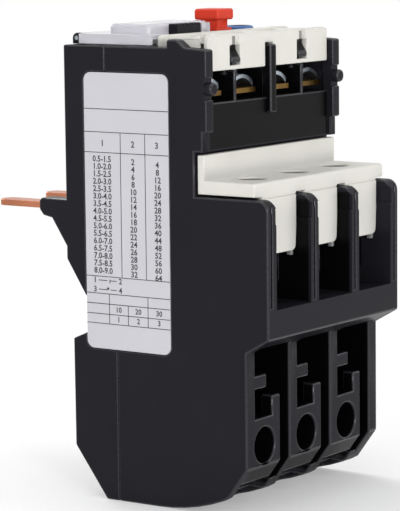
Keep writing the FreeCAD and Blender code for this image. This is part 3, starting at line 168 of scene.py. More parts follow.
world = bpy.data.worlds.new("room")
bpy.context.scene.world = world
world.use_nodes = True
tree = world.node_tree
tree.nodes.clear()
room = tree.nodes.new("ShaderNodeBackground")
room.inputs["Color"].default_value = WORLD_GREY
room.inputs["Strength"].default_value = WORLD_LEVEL
white = tree.nodes.new("ShaderNodeBackground")
white.inputs["Color"].default_value = WHITE
white.inputs["Strength"].default_value = 1.0
pick = tree.nodes.new("ShaderNodeMixShader")
out = tree.nodes.new("ShaderNodeOutputWorld")
link(tree, open_view(tree), pick.inputs[0])
link(tree, room.outputs[0], pick.inputs[1])
link(tree, white.outputs[0], pick.inputs[2])
link(tree, pick.outputs[0], out.inputs[0])
print("room light", WORLD_LEVEL)


# %% A recipe for the table top
FLOOR_GREY = (0.97, 0.97, 0.97, 1.0)
FLOOR_ROUGHNESS = 0.8
SHADOW_REACH = 0.16
WHITE_REACH = 0.42
FLOOR_LIFT = 0.3


def table_top():
    """White table: its own light near the relay, and plain white far off for open_view rays.
    The share of white rises from FLOOR_LIFT to 1 with the distance from the relay."""
    material = bpy.data.materials.new("table_top")
    material.use_nodes = True
    tree = material.node_tree
    lit = tree.nodes["Principled BSDF"]
    lit.inputs["Base Color"].default_value = FLOOR_GREY
    lit.inputs["Roughness"].default_value = FLOOR_ROUGHNESS
    place = tree.nodes.new("ShaderNodeTexCoord")
    reach = tree.nodes.new("ShaderNodeVectorMath")
    reach.operation = "LENGTH"
    link(tree, place.outputs["Object"], reach.inputs[0])
    rise = tree.nodes.new("ShaderNodeMapRange")
    rise.interpolation_type = "SMOOTHSTEP"
    for socket, number in (("From Min", SHADOW_REACH), ("From Max", WHITE_REACH),
                           ("To Min", FLOOR_LIFT), ("To Max", 1.0)):
        rise.inputs[socket].default_value = number
    link(tree, reach.outputs["Value"], rise.inputs["Value"])
    shown = tree.nodes.new("ShaderNodeMath")
    shown.operation = "MULTIPLY"
    link(tree, rise.outputs["Result"], shown.inputs[0])
    link(tree, open_view(tree), shown.inputs[1])
    glow = tree.nodes.new("ShaderNodeEmission")
    glow.inputs["Strength"].default_value = 1.0
    both = tree.nodes.new("ShaderNodeMixShader")
    link(tree, shown.outputs[0], both.inputs[0])
    link(tree, lit.outputs[0], both.inputs[1])
    link(tree, glow.outputs[0], both.inputs[2])
    link(tree, both.outputs[0], tree.nodes["Material Output"].inputs[0])
    return material


print("the floor goes white between", SHADOW_REACH, "and", WHITE_REACH, "m")


# %% The table
FLOOR_HALF = 3.0
floor_mesh = bpy.data.meshes.new("floor")
floor_mesh.from_pydata([(-FLOOR_HALF, -FLOOR_HALF, 0), (FLOOR_HALF, -FLOOR_HALF, 0),
                        (FLOOR_HALF, FLOOR_HALF, 0), (-FLOOR_HALF, FLOOR_HALF, 0)],
                       [], [(0, 1, 2, 3)])
floor = bpy.data.objects.new("floor", floor_mesh)
bpy.context.scene.collection.objects.link(floor)
floor_mesh.materials.append(table_top())
print("table", 2 * FLOOR_HALF, "m wide")


# %% The lamps
RELAY_MIDDLE = Vector((0.0, 0.0, 0.045))


def soft_lamp(name, place, size, power):
    """A white square area lamp that faces the middle of the relay. Metres and watts."""
    data = bpy.data.lights.new(name, "AREA")
    data.size = size
    data.energy = power
    lamp = bpy.data.objects.new(name, data)
    bpy.context.scene.collection.objects.link(lamp)
    lamp.location = place
    aim = RELAY_MIDDLE - Vector(place)
    lamp.rotation_euler = aim.to_track_quat("-Z", "Y").to_euler()


soft_lamp("front_lamp", (0.35, -0.75, 0.45), 0.5, 1.9)
soft_lamp("side_lamp", (-0.8, -0.1, 0.35), 0.5, 1.7)
soft_lamp("edge_lamp", (-0.6, -0.85, 0.16), 0.2, 5.2)
soft_lamp("top_lamp", (0.0, 0.1, 0.9), 0.6, 3.0)
soft_lamp("back_lamp", (0.25, 0.8, 0.45), 0.5, 4.6)
bpy.context.scene.view_settings.view_transform = "Standard"


# %% [markdown]
# ## Moulded plastic
# A moulded part copies the skin of its steel mould. Spark erosion leaves that skin matt and
# finely pitted, so the plastic has a tiny bump, a gloss that varies a little, and a colour
# that drifts by a few percent from place to place. One recipe makes every plastic here, and
# its pattern is read from Object coordinates, because all pieces share one frame.
# Little light gets into a deep bay or an access hole, and a white room shows them too light.
# So the recipe takes shade zones, boxes inside which the colour goes over to a darker tone:
# this darkness is painted shade, not a different plastic. A box is enough, because the bays are square.

# %% Nodes for patterns
def new_material(name):
    """An empty node material with one Principled shader, its tree and its coordinate node."""
    material = bpy.data.materials.new(name)
    material.use_nodes = True
    tree = material.node_tree
    shader = tree.nodes["Principled BSDF"]
    place = tree.nodes.new("ShaderNodeTexCoord")
    return material, tree, shader, place


def noise(tree, place, scale, detail=2.0, stretch=None):
    """Noise on Object coordinates. Scale counts features per metre; stretch squeezes an axis."""
    source = place.outputs["Object"]
    if stretch:
        squeeze = tree.nodes.new("ShaderNodeMapping")
        squeeze.inputs["Scale"].default_value = stretch
        link(tree, source, squeeze.inputs["Vector"])
        source = squeeze.outputs["Vector"]
    pattern = tree.nodes.new("ShaderNodeTexNoise")
    pattern.inputs["Scale"].default_value = scale
    pattern.inputs["Detail"].default_value = detail
    link(tree, source, pattern.inputs["Vector"])
    return pattern.outputs["Fac"]


def spread(tree, value, low, high, start=0.3, end=0.7):
    """Maps a value from one range to another."""
    ramp = tree.nodes.new("ShaderNodeMapRange")
    for socket, number in (("From Min", start), ("From Max", end),
                           ("To Min", low), ("To Max", high)):
        ramp.inputs[socket].default_value = number
    link(tree, value, ramp.inputs["Value"])
    return ramp.outputs["Result"]


print("patterns: noise, spread")


# %% Colours
def two_tone(tree, value, dark, light):
    """A colour that drifts between two tones with a value from 0 to 1."""
    tones = tree.nodes.new("ShaderNodeMix")
    tones.data_type = "RGBA"
    tones.inputs["A"].default_value = (*dark, 1.0)
    tones.inputs["B"].default_value = (*light, 1.0)
    link(tree, value, tones.inputs["Factor"])
    return tones.outputs["Result"]


def linear(hex_colour):
    """Linear light of a colour written as six hex digits of sRGB."""
    parts = [int(hex_colour[k:k + 2], 16) / 255 for k in (0, 2, 4)]
    return tuple(((c + 0.055) / 1.055) ** 2.4 if c > 0.04045 else c / 12.92 for c in parts)


def shade(colour, factor):
    """A colour times a factor, with one as the most."""
    return tuple(min(1.0, c * factor) for c in colour)


print("mid grey in linear light", [round(c, 3) for c in linear("808080")])


# %% Zones
SOFT_WALL = 0.015


def most(tree, first, second):
    """The larger of two values."""
    larger = tree.nodes.new("ShaderNodeMath")
    larger.operation = "MAXIMUM"
    link(tree, first, larger.inputs[0])
    link(tree, second, larger.inputs[1])
    return larger.outputs[0]


def blended(tree, factor, first, second):
    """A colour between two colour outputs."""
    mix = tree.nodes.new("ShaderNodeMix")
    mix.data_type = "RGBA"
    link(tree, factor, mix.inputs["Factor"])
    link(tree, first, mix.inputs["A"])
    link(tree, second, mix.inputs["B"])
    return mix.outputs["Result"]


def inside_box(tree, place, low, high):
    """One inside a box, nought outside: the largest of |p - middle| / half over the three axes,
    softened at the walls by SOFT_WALL of the half size. Corners are in millimetres."""
    low, high = Vector(low) * MM, Vector(high) * MM
    source = place.outputs["Object"]
    for operation, vector in (("SUBTRACT", (low + high) / 2), ("DIVIDE", (high - low) / 2),
                              ("ABSOLUTE", None)):
        step = tree.nodes.new("ShaderNodeVectorMath")
        step.operation = operation
        link(tree, source, step.inputs[0])
        if vector:
            step.inputs[1].default_value = vector
        source = step.outputs[0]
    split = tree.nodes.new("ShaderNodeSeparateXYZ")
    link(tree, source, split.inputs[0])
    widest = split.outputs["X"]
    for axis in "YZ":
        widest = most(tree, widest, split.outputs[axis])
    return spread(tree, widest, 1.0, 0.0, 1.0 - SOFT_WALL, 1.0)


print("zone walls soften over", SOFT_WALL, "of the half size")


# %% A recipe for moulded plastic
CLOUDS = 90.0
GLOSS_SPREAD = 0.06
PIT_DEPTH = 0.02 * MM
PLASTIC_IOR = 1.5


def relief(tree, shader, height, strength, depth):
    """A bump on the shader's normal: a height from 0 to 1 stands for a depth in metres."""
    bump = tree.nodes.new("ShaderNodeBump")
    bump.inputs["Strength"].default_value = strength
    bump.inputs["Distance"].default_value = depth
    link(tree, height, bump.inputs["Height"])
    link(tree, bump.outputs["Normal"], shader.inputs["Normal"])


def drifting(tree, cloud, colour, drift):
    """A colour that drifts with the cloud, by a share of itself to each side."""
    return two_tone(tree, cloud, shade(colour, 1 - drift), shade(colour, 1 + drift))


def moulded_plastic(name, hex_colour, roughness, grain=0.25, drift=0.06, pits=2600.0, shine=0.5,
                    shade_zones=(), painted_shade_hex="060607"):
    """Plastic from a spark-eroded mould: fine pits, drifting colour and slightly uneven gloss.
    Inside each shade zone, a box in millimetres, the colour goes over to a second, darker one: painted shade."""
    material, tree, shader, place = new_material(name)
    cloud = spread(tree, noise(tree, place, CLOUDS), 0.0, 1.0)
    skin_colour = drifting(tree, cloud, linear(hex_colour), drift)
    if shade_zones:
        painted_shade_mask = inside_box(tree, place, *shade_zones[0])
        for zone in shade_zones[1:]:
            painted_shade_mask = most(tree, painted_shade_mask, inside_box(tree, place, *zone))
        painted_shade_tone = drifting(tree, cloud, linear(painted_shade_hex), drift)
        skin_colour = blended(tree, painted_shade_mask, skin_colour, painted_shade_tone)
    link(tree, skin_colour, shader.inputs["Base Color"])
    skin = noise(tree, place, pits, 3.0)
    gloss = spread(tree, skin, roughness - GLOSS_SPREAD, roughness + GLOSS_SPREAD)
    link(tree, gloss, shader.inputs["Roughness"])
    relief(tree, shader, skin, grain, PIT_DEPTH)
    shader.inputs["IOR"].default_value = PLASTIC_IOR
    shader.inputs["Specular IOR Level"].default_value = shine
    return material


print("pits", round(PIT_DEPTH / MM, 3), "mm deep")


# %% Where the plastics are in shade
FRONT = cad_box[0][1] / MM
# Painted shade: inside these boxes, which hold the deep bays and recessed walls of the charcoal shell and the access
# holes and grooves of the white covers, the colour is made darker to stand for the shade there.
PAINTED_SHADE_BLACK_BOXES = (
    ((-20.0, FRONT + 12.0, 66.1), (20.0, FRONT + 26.0, 90.0)),
    ((-19.6, FRONT + 0.5, 38.2), (19.6, FRONT + 15.6, 57.0)),
    ((-20.6, FRONT + 5.2, 4.0), (20.9, FRONT + 15.6, 31.6)),
)
PAINTED_SHADE_WHITE_BOXES = (
    ((-16.9, FRONT + 6.0, 50.0), (-11.1, FRONT + 11.8, 60.55)),
    ((-2.9, FRONT + 6.0, 50.0), (2.9, FRONT + 11.8, 60.55)),
    ((11.1, FRONT + 6.0, 50.0), (16.9, FRONT + 11.8, 60.55)),
    ((-12.25, FRONT + 14.6, 84.5), (-10.15, FRONT + 15.4, 86.2)),
    ((10.15, FRONT + 14.6, 84.5), (12.25, FRONT + 15.4, 86.2)),
)
print("front at", round(FRONT, 2), "shade_zones", len(PAINTED_SHADE_BLACK_BOXES), "black,", len(PAINTED_SHADE_WHITE_BOXES), "white")

# %% The plastics
finish = {
    "black_plastic": moulded_plastic("charcoal_plastic", "1e1d22", 0.34, 0.25, 0.08, shine=0.07,
                                     shade_zones=PAINTED_SHADE_BLACK_BOXES),
    "dark_plastic": moulded_plastic("panel_plastic", "1c1b1f", 0.36, 0.3, 0.06, shine=0.1),
    "grey_plastic": moulded_plastic("grey_plastic", "7f7f80", 0.45, 0.25, 0.05),
    "white_plastic": moulded_plastic("warm_white_plastic", "d2d0c9", 0.42, 0.22, 0.03, shine=0.3,
                                     shade_zones=PAINTED_SHADE_WHITE_BOXES, painted_shade_hex="86847f"),
    "red_plastic": moulded_plastic("red_plastic", "d23a24", 0.38, 0.15, 0.05, shine=0.2),
    "blue_plastic": moulded_plastic("blue_plastic", "2f5f9e", 0.35, 0.15, 0.05),
    "green_plastic": moulded_plastic("green_plastic", "3f8f52", 0.4, 0.15, 0.05),
    "label": moulded_plastic("label_film_print", "c2c1c6", 0.5, 0.06, 0.015, 900.0, shine=0.3),
}
print("plastics", sorted(finish))


# %% [markdown]
# ## Metals
# Copper bars are sheared from rolled strip, so fine scratches run along them. Plated steel
# screws and clamps have a bluish, slightly cloudy passivated skin. The inner springs, bimetal
# and ribbon are bright drawn metal. One recipe makes them all: a Mapping squeezes the noise
# along one axis into scratches, and the same noise moves both the gloss and the bump.

# %% A recipe for rolled and plated metal
METAL_CLOUDS = 160.0
PAINTED_SHADE_ZINC = "232427"
SCRATCH_BUMP = 0.2
SCRATCH_DEPTH = 0.01 * MM


def metal(name, hex_colour, roughness, stretch=None, drift=0.12, scale=500.0, shade_zones=()):
    """Metal with scratches along one axis, a cloudy tone and gloss that follows the scratches.
    Inside each shade zone it goes over to a second, darker tone, which is painted shade."""
    material, tree, shader, place = new_material(name)
    cloud = spread(tree, noise(tree, place, METAL_CLOUDS, 4.0), 0.0, 1.0)
    tone = drifting(tree, cloud, linear(hex_colour), drift)
    for zone in shade_zones:
        painted_shade_zinc = drifting(tree, cloud, linear(PAINTED_SHADE_ZINC), drift)
        tone = blended(tree, inside_box(tree, place, *zone), tone, painted_shade_zinc)
    link(tree, tone, shader.inputs["Base Color"])
    scratch = noise(tree, place, scale, 4.0, stretch)
    link(tree, spread(tree, scratch, roughness - 0.08, roughness + 0.1), shader.inputs["Roughness"])
    relief(tree, shader, scratch, SCRATCH_BUMP, SCRATCH_DEPTH)
    shader.inputs["Metallic"].default_value = 1.0
    return material


finish.update({
    "copper": metal("rolled_copper", "b8775a", 0.34, (6.0, 0.4, 6.0)),
    # the zinc parts inside the deep bays get painted shade: a darker tone inside this box
    "zinc_steel": metal("zinc_plated_steel", "b4bec8", 0.33, (1.0, 1.0, 1.0), 0.1, 900.0,
                        shade_zones=(((-22.0, FRONT, 5.0), (22.0, FRONT + 20.0, 56.0)),)),
    "brass": metal("brass", "75592a", 0.3, (4.0, 4.0, 0.6), 0.35),
    "silver": metal("silver", "d8d8d6", 0.25),
    "steel": metal("spring_steel", "9ba0a6", 0.28, None, 0.06, 1500.0),
    "bimetal": metal("bimetal", "a9a39a", 0.3, (5.0, 5.0, 0.4)),
    "heater_ribbon": metal("heater_ribbon", "8f8880", 0.35, (0.5, 0.5, 6.0)),
})
print("metals added, finishes now", len(finish))


# %% [markdown]
# ## Clear lid
# The lid is a thin polycarbonate shell. It bends light and shows the dial below, with a
# faint lilac tint and a slight haze from handling. A Principled shader with partial
# transmission gives both, with the haze in its roughness.

# %% Clear plastic
LID_TRANSMISSION = 0.62
LID_IOR = 1.3


def clear_plastic(name, hex_colour):
    """Polycarbonate: clear, tinted, and hazed a little by a fine noise in the roughness."""
    material, tree, shader, place = new_material(name)
    tint = linear(hex_colour)
    cloud = spread(tree, noise(tree, place, 120.0), 0.0, 1.0)
    link(tree, two_tone(tree, cloud, shade(tint, 0.97), tint), shader.inputs["Base Color"])
    haze = noise(tree, place, 1400.0, 3.0)
    link(tree, spread(tree, haze, 0.1, 0.22), shader.inputs["Roughness"])
    shader.inputs["Transmission Weight"].default_value = LID_TRANSMISSION
    shader.inputs["IOR"].default_value = LID_IOR
    return material


finish["clear_plastic"] = clear_plastic("clear_polycarbonate", "f3f2f7")
print("clear plastic ready")


# %% [markdown]
# ## Surfaces from numbers
# Rules, nubs and cutters are plain boxes. Each one is eight corners worked out from two
# opposite corners, so a whole row of them is one array and one mesh.
# Depths are counted from the front of the terminal barriers, heights from the sole.

# %% Boxes as one mesh
HALF_WIDTH = cad_box[1][0] / MM
POLES = np.array([-14.0, 0.0, 14.0])
BOX_FACES = np.array([(0, 3, 2, 1), (4, 5, 6, 7), (0, 1, 5, 4),
                      (1, 2, 6, 5), (2, 3, 7, 6), (3, 0, 4, 7)])


def box_sheet(rows):
    """Vertices and faces of boxes: a row is x0, x1, depth0, depth1, z0, z1 in millimetres."""
    rows = np.asarray(rows, float).reshape(-1, 6)
    x = rows[:, [0, 1, 1, 0, 0, 1, 1, 0]]
    y = rows[:, [2, 2, 3, 3, 2, 2, 3, 3]] + FRONT
    z = rows[:, [4, 4, 4, 4, 5, 5, 5, 5]]
    points = np.stack((x, y, z), axis=-1).reshape(-1, 3) * MM
    faces = (np.arange(len(rows))[:, None, None] * 8 + BOX_FACES).reshape(-1, 4)
    return points, faces.tolist()


print("front at", round(FRONT, 2), "half width", round(HALF_WIDTH, 2))


# %% Rows of boxes and joined sheets
def at_poles(x0, x1, *rest):
    """The same box beside each pole, with its sides given from the pole's middle."""
    return [(pole + x0, pole + x1, *rest) for pole in POLES]


def joined(sheets):
    """One sheet of vertices and faces from several, each one's faces counted on from the last."""
    points, faces, start = [], [], 0
    for sheet_points, sheet_faces in sheets:
        points.append(sheet_points)
        faces += [[corner + start for corner in face] for face in sheet_faces]
        start += len(sheet_points)
    return np.concatenate(points), faces


def mesh_of(name, sheet):
    """A Blender mesh from one sheet of vertices and faces."""
    mesh = bpy.data.meshes.new(name)
    mesh.from_pydata(sheet[0].tolist(), [], sheet[1])
    mesh.update()
    return mesh


print("boxes beside the poles", len(at_poles(-1.0, 1.0)))


# %% Pieces that ride
def put(name, mesh, body, slot, material=None):
    """A piece at the origin that rides on a body and takes its finish from a slot."""
    mesh.materials.clear()
    mesh.materials.append(material or finish[slot])
    piece = bpy.data.objects.new(name, mesh)
    bpy.context.scene.collection.objects.link(piece)
    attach(piece, body)
    return piece


slot_of = {part["node"]: part["material_slot"] for part in frame["record"]["subparts"]}
body_of = {node: nodes[node]["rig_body"] for node in nodes}


# %% [markdown]
# ## Softened and carved copies
# Sharp CAD edges never catch the light, so the pieces in view are copied, their loose
# triangles are merged into clean faces, and a narrow Bevel rounds the outer edges that
# have room for it, as a mould does. Before that, a Boolean cuts what the CAD leaves plain: the hollows under the front
# foot, the groove down the face of every barrier, and the step below the cover's ledge.
# The rims of the charcoal parts catch thin lights. A Bevel can give its own faces a second
# material, so here they get a slightly smoother and lighter one. The smoother gloss is real;
# the lighter colour is a painted highlight along the rims.

# %% Merged copies
SAME_SPOT = 0.002 * MM
SAME_PLANE = math.radians(0.8)


def tidied(shell):
    """Doubles merged, edges inside one plane dissolved, and normals turned outwards."""
    bmesh.ops.remove_doubles(shell, verts=shell.verts, dist=SAME_SPOT)
    bmesh.ops.dissolve_limit(shell, angle_limit=SAME_PLANE, verts=shell.verts,
                             edges=shell.edges, delimit={"NORMAL"})
    bmesh.ops.recalc_face_normals(shell, faces=shell.faces)


def merged_mesh(node):
    """A copy of a node's triangles as one shell of clean faces."""
    mesh = nodes[node].data.copy()
    shell = bmesh.new()
    shell.from_mesh(mesh)
    tidied(shell)
    shell.to_mesh(mesh)
    shell.free()
    mesh.materials.clear()
    return mesh


print("faces of the lid, as packed and merged", len(nodes["lid"].data.polygons),
      len(merged_mesh("lid").polygons))


# %% Cutting
def carve(mesh, rows):
    """The mesh with boxes cut out of it by an exact Boolean."""
    blank = bpy.data.objects.new("blank", mesh)
    tool = bpy.data.objects.new("tool", mesh_of("tool", box_sheet(rows)))
    for thing in (blank, tool):
        bpy.context.scene.collection.objects.link(thing)
    cut = blank.modifiers.new("cut", "BOOLEAN")
    cut.operation = "DIFFERENCE"
    cut.solver = "EXACT"
    cut.use_self = True
    cut.object = tool
    graph = bpy.context.evaluated_depsgraph_get()
    result = bpy.data.meshes.new_from_object(blank.evaluated_get(graph))
    for thing in (blank, tool):
        bpy.data.objects.remove(thing)
    return result


print("cutting: exact Boolean")


# %% Room for a bevel
RUNS_ON = 0.75
SHARE = 0.47


def beside(edge, corner, face):
    """The other edge of the face at this corner of the edge."""
    return next(e for e in face.edges if e is not edge and corner in e.verts)


def room_for(edge, chosen):
    """How wide a bevel the edges beside this one leave it, in metres. An edge that carries
    the same rim on round a bend takes no room away, because the bevel runs on along it."""
    room = 1.0
    for corner in edge.verts:
        along = (corner.co - edge.other_vert(corner).co).normalized()
        for face in edge.link_faces:
            near = beside(edge, corner, face)
            onward = (near.other_vert(corner).co - corner.co).normalized()
            if near in chosen and along.dot(onward) > RUNS_ON:
                continue
            room = min(room, SHARE * near.calc_length())
    return room


print("a bevel may take", SHARE, "of the edge beside it")


# %% Bevel weights
SHARP = math.radians(32.0)
BEND = math.radians(10.0)
LARGE = 3.0 * MM ** 2
SHORTEST = 0.12 * MM
LEAST_WEIGHT = 0.5


def cleaned(mesh, width=0.0):
    """Flat neighbours dissolved into one face, normals outwards, and a bevel weight on every
    sharp outer edge. Sharp edges without a bevel, such as inner corners, stay hard."""
    shell = bmesh.new()
    shell.from_mesh(mesh)
    tidied(shell)
    weight = shell.edges.layers.float.new("bevel_weight_edge")
    sharp = [e for e in shell.edges if len(e.link_faces) == 2 and e.calc_face_angle() > SHARP]
    chosen = {e for e in sharp if e.is_convex and e.calc_length() > SHORTEST}
    for face in shell.faces:
        face.smooth = True
    for edge in shell.edges:
        large = len(edge.link_faces) == 2 and min(f.calc_area() for f in edge.link_faces) > LARGE
        edge.smooth = not (large and edge.calc_face_angle() > BEND)
    for edge in sharp:
        edge.smooth = False
        if width and edge in chosen:
            edge[weight] = min(1.0, room_for(edge, chosen) / (width * MM))
            edge.smooth = edge[weight] > LEAST_WEIGHT
            edge[weight] *= edge.smooth
    shell.to_mesh(mesh)
    shell.free()
    return mesh


print("sharp from", round(math.degrees(SHARP)), "degrees")


# %% Rounding
# A lighter charcoal for the bevel faces: a painted highlight along the rims, with a smoother gloss.
edge_highlight_plastic = moulded_plastic("charcoal_painted_highlight_edge", "252429", 0.26, 0.1, 0.05, shine=0.3)


def rounded(piece, width):
    """A live Bevel of two segments on the edges that carry a weight. Width in millimetres."""
    bevel = piece.modifiers.new("rounded edges", "BEVEL")
    bevel.width = width * MM
    bevel.segments = 2
    bevel.limit_method = "WEIGHT"
    return bevel


def soften(node, width, mesh=None):
    """A bevelled copy of a node, which rides on its body and stands for it."""
    mesh = cleaned(mesh or merged_mesh(node), width)
    piece = put(node + "_soft", mesh, body_of[node], slot_of[node])
    bevel = rounded(piece, width)
    bevel.use_clamp_overlap = False
    # the bevel faces of charcoal parts take the lighter charcoal, a painted highlight
    if slot_of[node] == "black_plastic":
        mesh.materials.append(edge_highlight_plastic)
        bevel.material = 1
    even = piece.modifiers.new("flat faces", "WEIGHTED_NORMAL")
    even.keep_sharp = True
    even.weight = 100
    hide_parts(node)


print("rounding ready")


# %% The front shell, carved
FOOT_HOLLOW = (-6.9, 3.5, 3.0, 12.5, -1.0, 5.8)
GROOVE_HALF = 0.25
GROOVE_DEEP = 0.4
GROOVE_HEIGHT = (38.6, 60.0)
BARRIER_X = (-21.2, -7.0, 7.0, 21.2)
front_cuts = at_poles(*FOOT_HOLLOW)
front_cuts += [(x - GROOVE_HALF, x + GROOVE_HALF, -1.0, GROOVE_DEEP, *GROOVE_HEIGHT)
               for x in BARRIER_X]
soften("main_housing", 0.35, carve(merged_mesh("main_housing"), front_cuts))
print("front shell carved with", len(front_cuts), "cutters")

# %% The white cover, with a step under its ledge
LEDGE_STEP = (-30.0, 30.0, 3.0, 3.3, 57.75, 58.0)
soften("terminal_cover", 0.25, carve(merged_mesh("terminal_cover"), [LEDGE_STEP]))
print("ledge step", LEDGE_STEP[3] - LEDGE_STEP[2], "mm deep")

# %% The other edges, and a finish for every node
EDGE_WIDTHS = {
    "rear_housing": 0.3, "aux_cover": 0.25, "front_panel": 0.2, "lid": 0.15,
    "stop_button": 0.3, "reset_cap": 0.2, "test_lever": 0.2, "setting_dial": 0.15,
    "aux_clamps": 0.12, "load_clamp_1": 0.15, "load_clamp_2": 0.15, "load_clamp_3": 0.15,
    "line_bar_1": 0.15, "line_bar_2": 0.15, "line_bar_3": 0.15, "trip_flag": 0.12,
    "reset_plunger": 0.12,
}
for node, width in EDGE_WIDTHS.items():
    soften(node, width)
for node, obj in nodes.items():
    obj.data.materials.clear()
    obj.data.materials.append(finish[slot_of[node]])
print("dressed", len(nodes), "nodes, softened", len(EDGE_WIDTHS) + 2)


# %% [markdown]
# ## The printed label
# The label is a film with rounded corners, sunk into the side, and printed with rules and
# small figures. Here the head stays bare and the table carries plain counting numbers. An
# image could carry the print, but a thin solid layer of ink stays sharp at any distance.
# The film is set back by a hair so that the ink still lies within the side of the housing.

# %% The film
FILM_BACK = 0.05
SIDE_X = -HALF_WIDTH

film_mesh = merged_mesh("label_plate")
spots = np.empty(len(film_mesh.vertices) * 3)
film_mesh.vertices.foreach_get("co", spots)
spots = spots.reshape(-1, 3)
spots[:, 0] = np.maximum(spots[:, 0], (SIDE_X + FILM_BACK) * MM)
film_mesh.vertices.foreach_set("co", spots.ravel())
film = put("label_film", cleaned(film_mesh), body_of["label_plate"], "label")
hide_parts("label_plate")
print("film set back by", FILM_BACK, "mm")

# %% Rules
INK = 0.02
RULE = 0.14
LABEL_DEPTH = (21.4, 40.4)
WIDE_RULES = (73.0, 68.75, 65.0, 42.0, 38.8, 36.9, 35.0, 33.2)
TALL_RULES = ((32.2, 42.0, 68.75), (26.65, 42.0, 68.75), (35.2, 33.2, 38.8), (26.4, 33.2, 38.8),
              (30.9, 33.2, 36.9))

ink_x = (SIDE_X + FILM_BACK - INK, SIDE_X + FILM_BACK + INK)
rules = [(*ink_x, *LABEL_DEPTH, z - RULE / 2, z + RULE / 2) for z in WIDE_RULES]
rules += [(*ink_x, d - RULE / 2, d + RULE / 2, low, high) for d, low, high in TALL_RULES]
print("label rules", len(rules))


# %% Figures as thin solids
INK_SPREAD = 0.02


def figures(text, size, line=1.0, align="CENTER"):
    """Vertices and faces of a text in millimetres, its baseline on x, made a mesh at once.
    Its outline is grown by INK_SPREAD of its size, as wet ink spreads."""
    curve = bpy.data.curves.new("figures", "FONT")
    curve.body = text
    curve.size = size
    curve.space_line = line
    curve.align_x = align
    curve.resolution_u = 2
    curve.extrude = INK
    curve.offset = INK_SPREAD * size
    holder = bpy.data.objects.new("figures", curve)
    bpy.context.scene.collection.objects.link(holder)
    graph = bpy.context.evaluated_depsgraph_get()
    mesh = bpy.data.meshes.new_from_object(holder.evaluated_get(graph))
    points = np.empty(len(mesh.vertices) * 3)
    mesh.vertices.foreach_get("co", points)
    faces = [list(face.vertices) for face in mesh.polygons]
    bpy.data.objects.remove(holder)
    return points.reshape(-1, 3), faces


def on_label(sheet, depth, z):
    """Lays a sheet on the film: its x runs towards the cable side, its y up, its z outwards."""
    points, faces = sheet
    x = SIDE_X + FILM_BACK - points[:, 2]
    y = depth + FRONT - points[:, 0]
    return np.stack((x, y, z + points[:, 1]), axis=-1) * MM, faces


print("a figure has", len(figures("8", 1.0)[1]), "faces")


# %% The table of figures
ROWS = 16
TOP_ROW = 63.3
ROW_PITCH = 1.38
FIGURE = 1.55
COLUMNS = (38.6, 29.4, 23.9)
COLUMN_DROP = 0.3
spacing = ROW_PITCH / FIGURE
counting = range(1, ROWS + 1)
columns = ("\n".join(f"{k / 2:.1f}-{k / 2 + 1:.1f}" for k in counting),
           "\n".join(str(2 * k) for k in counting),
           "\n".join(str(4 * k) for k in counting))
print_sheets = [box_sheet(rules)]
for place, (text, depth) in enumerate(zip(columns, COLUMNS)):
    column = figures(text, FIGURE, spacing, "CENTER" if place else "LEFT")
    print_sheets.append(on_label(column, depth, TOP_ROW - COLUMN_DROP * place))
print("rows", ROWS, "columns", len(columns))

# %% Heads, switch marks and foot
SINGLE_FIGURES = (
    ("1", 1.6, 36.3, 66.2), ("2", 1.6, 29.4, 66.2), ("3", 1.6, 24.0, 66.2),
    ("1\n3", 1.5, 38.4, 40.8), ("2\n4", 1.5, 32.6, 40.8),
    ("10", 1.4, 33.1, 35.5), ("1", 1.4, 33.1, 33.7), ("20", 1.4, 28.6, 35.5),
    ("2", 1.4, 28.6, 33.7), ("30", 1.4, 23.9, 35.5), ("3", 1.4, 23.9, 33.7),
)
PAIR_SPACING = 1.15
SWITCH_MARKS = ((35.6, 37.6, 41.2, 41.35), (33.5, 35.0, 41.2, 41.35), (34.9, 35.1, 40.8, 41.5),
                (35.6, 37.6, 39.5, 39.65), (33.5, 34.9, 39.5, 39.65), (35.2, 35.7, 39.6, 40.0))
for text, size, depth, z in SINGLE_FIGURES:
    line = PAIR_SPACING if "\n" in text else 1.0
    print_sheets.append(on_label(figures(text, size, line), depth, z))
print_sheets.append(box_sheet([(*ink_x, *mark) for mark in SWITCH_MARKS]))
ink = moulded_plastic("label_ink", "2e2d30", 0.5, 0.05, 0.1, 900.0)
put("label_print", mesh_of("label_print", joined(print_sheets)), body_of["label_plate"],
    "label", ink)
print("label print", sum(len(sheet[1]) for sheet in print_sheets), "faces")


# %% [markdown]
# ## Clips and the setting scale
# Two small nubs under every tongue of the white cover snap into the barriers. Round the
# dial runs a scale of plain numbers, printed in ink on the dark panel, with a tick for each,
# and an arrow on the disc points at the setting. The arrow is a piece of its own, so that it
# rides on the dial and turns with it while the scale stays still.

# %% Clip nubs
NUB_EDGE = 0.15
NUB_REACH = (3.5, 4.5, 46.7, 47.7)
# The nubs belong to the white cover; their grey plastic is painted shade, for the shadow under the tongues.
nub_rows = at_poles(-5.3, -4.5, *NUB_REACH) + at_poles(4.4, 5.2, *NUB_REACH)
nubs = put("tongue_clips", cleaned(mesh_of("tongue_clips", box_sheet(nub_rows)), NUB_EDGE),
           body_of["terminal_cover"], "grey_plastic")
rounded(nubs, NUB_EDGE)
print("clip nubs", len(nub_rows))

# %% Sheets laid round the dial
dial_low, dial_high = (np.array(corner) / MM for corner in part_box("setting_dial"))
DIAL_X, DIAL_Y = (dial_low[:2] + dial_high[:2]) / 2
DIAL_R = (dial_high[0] - dial_low[0]) / 2


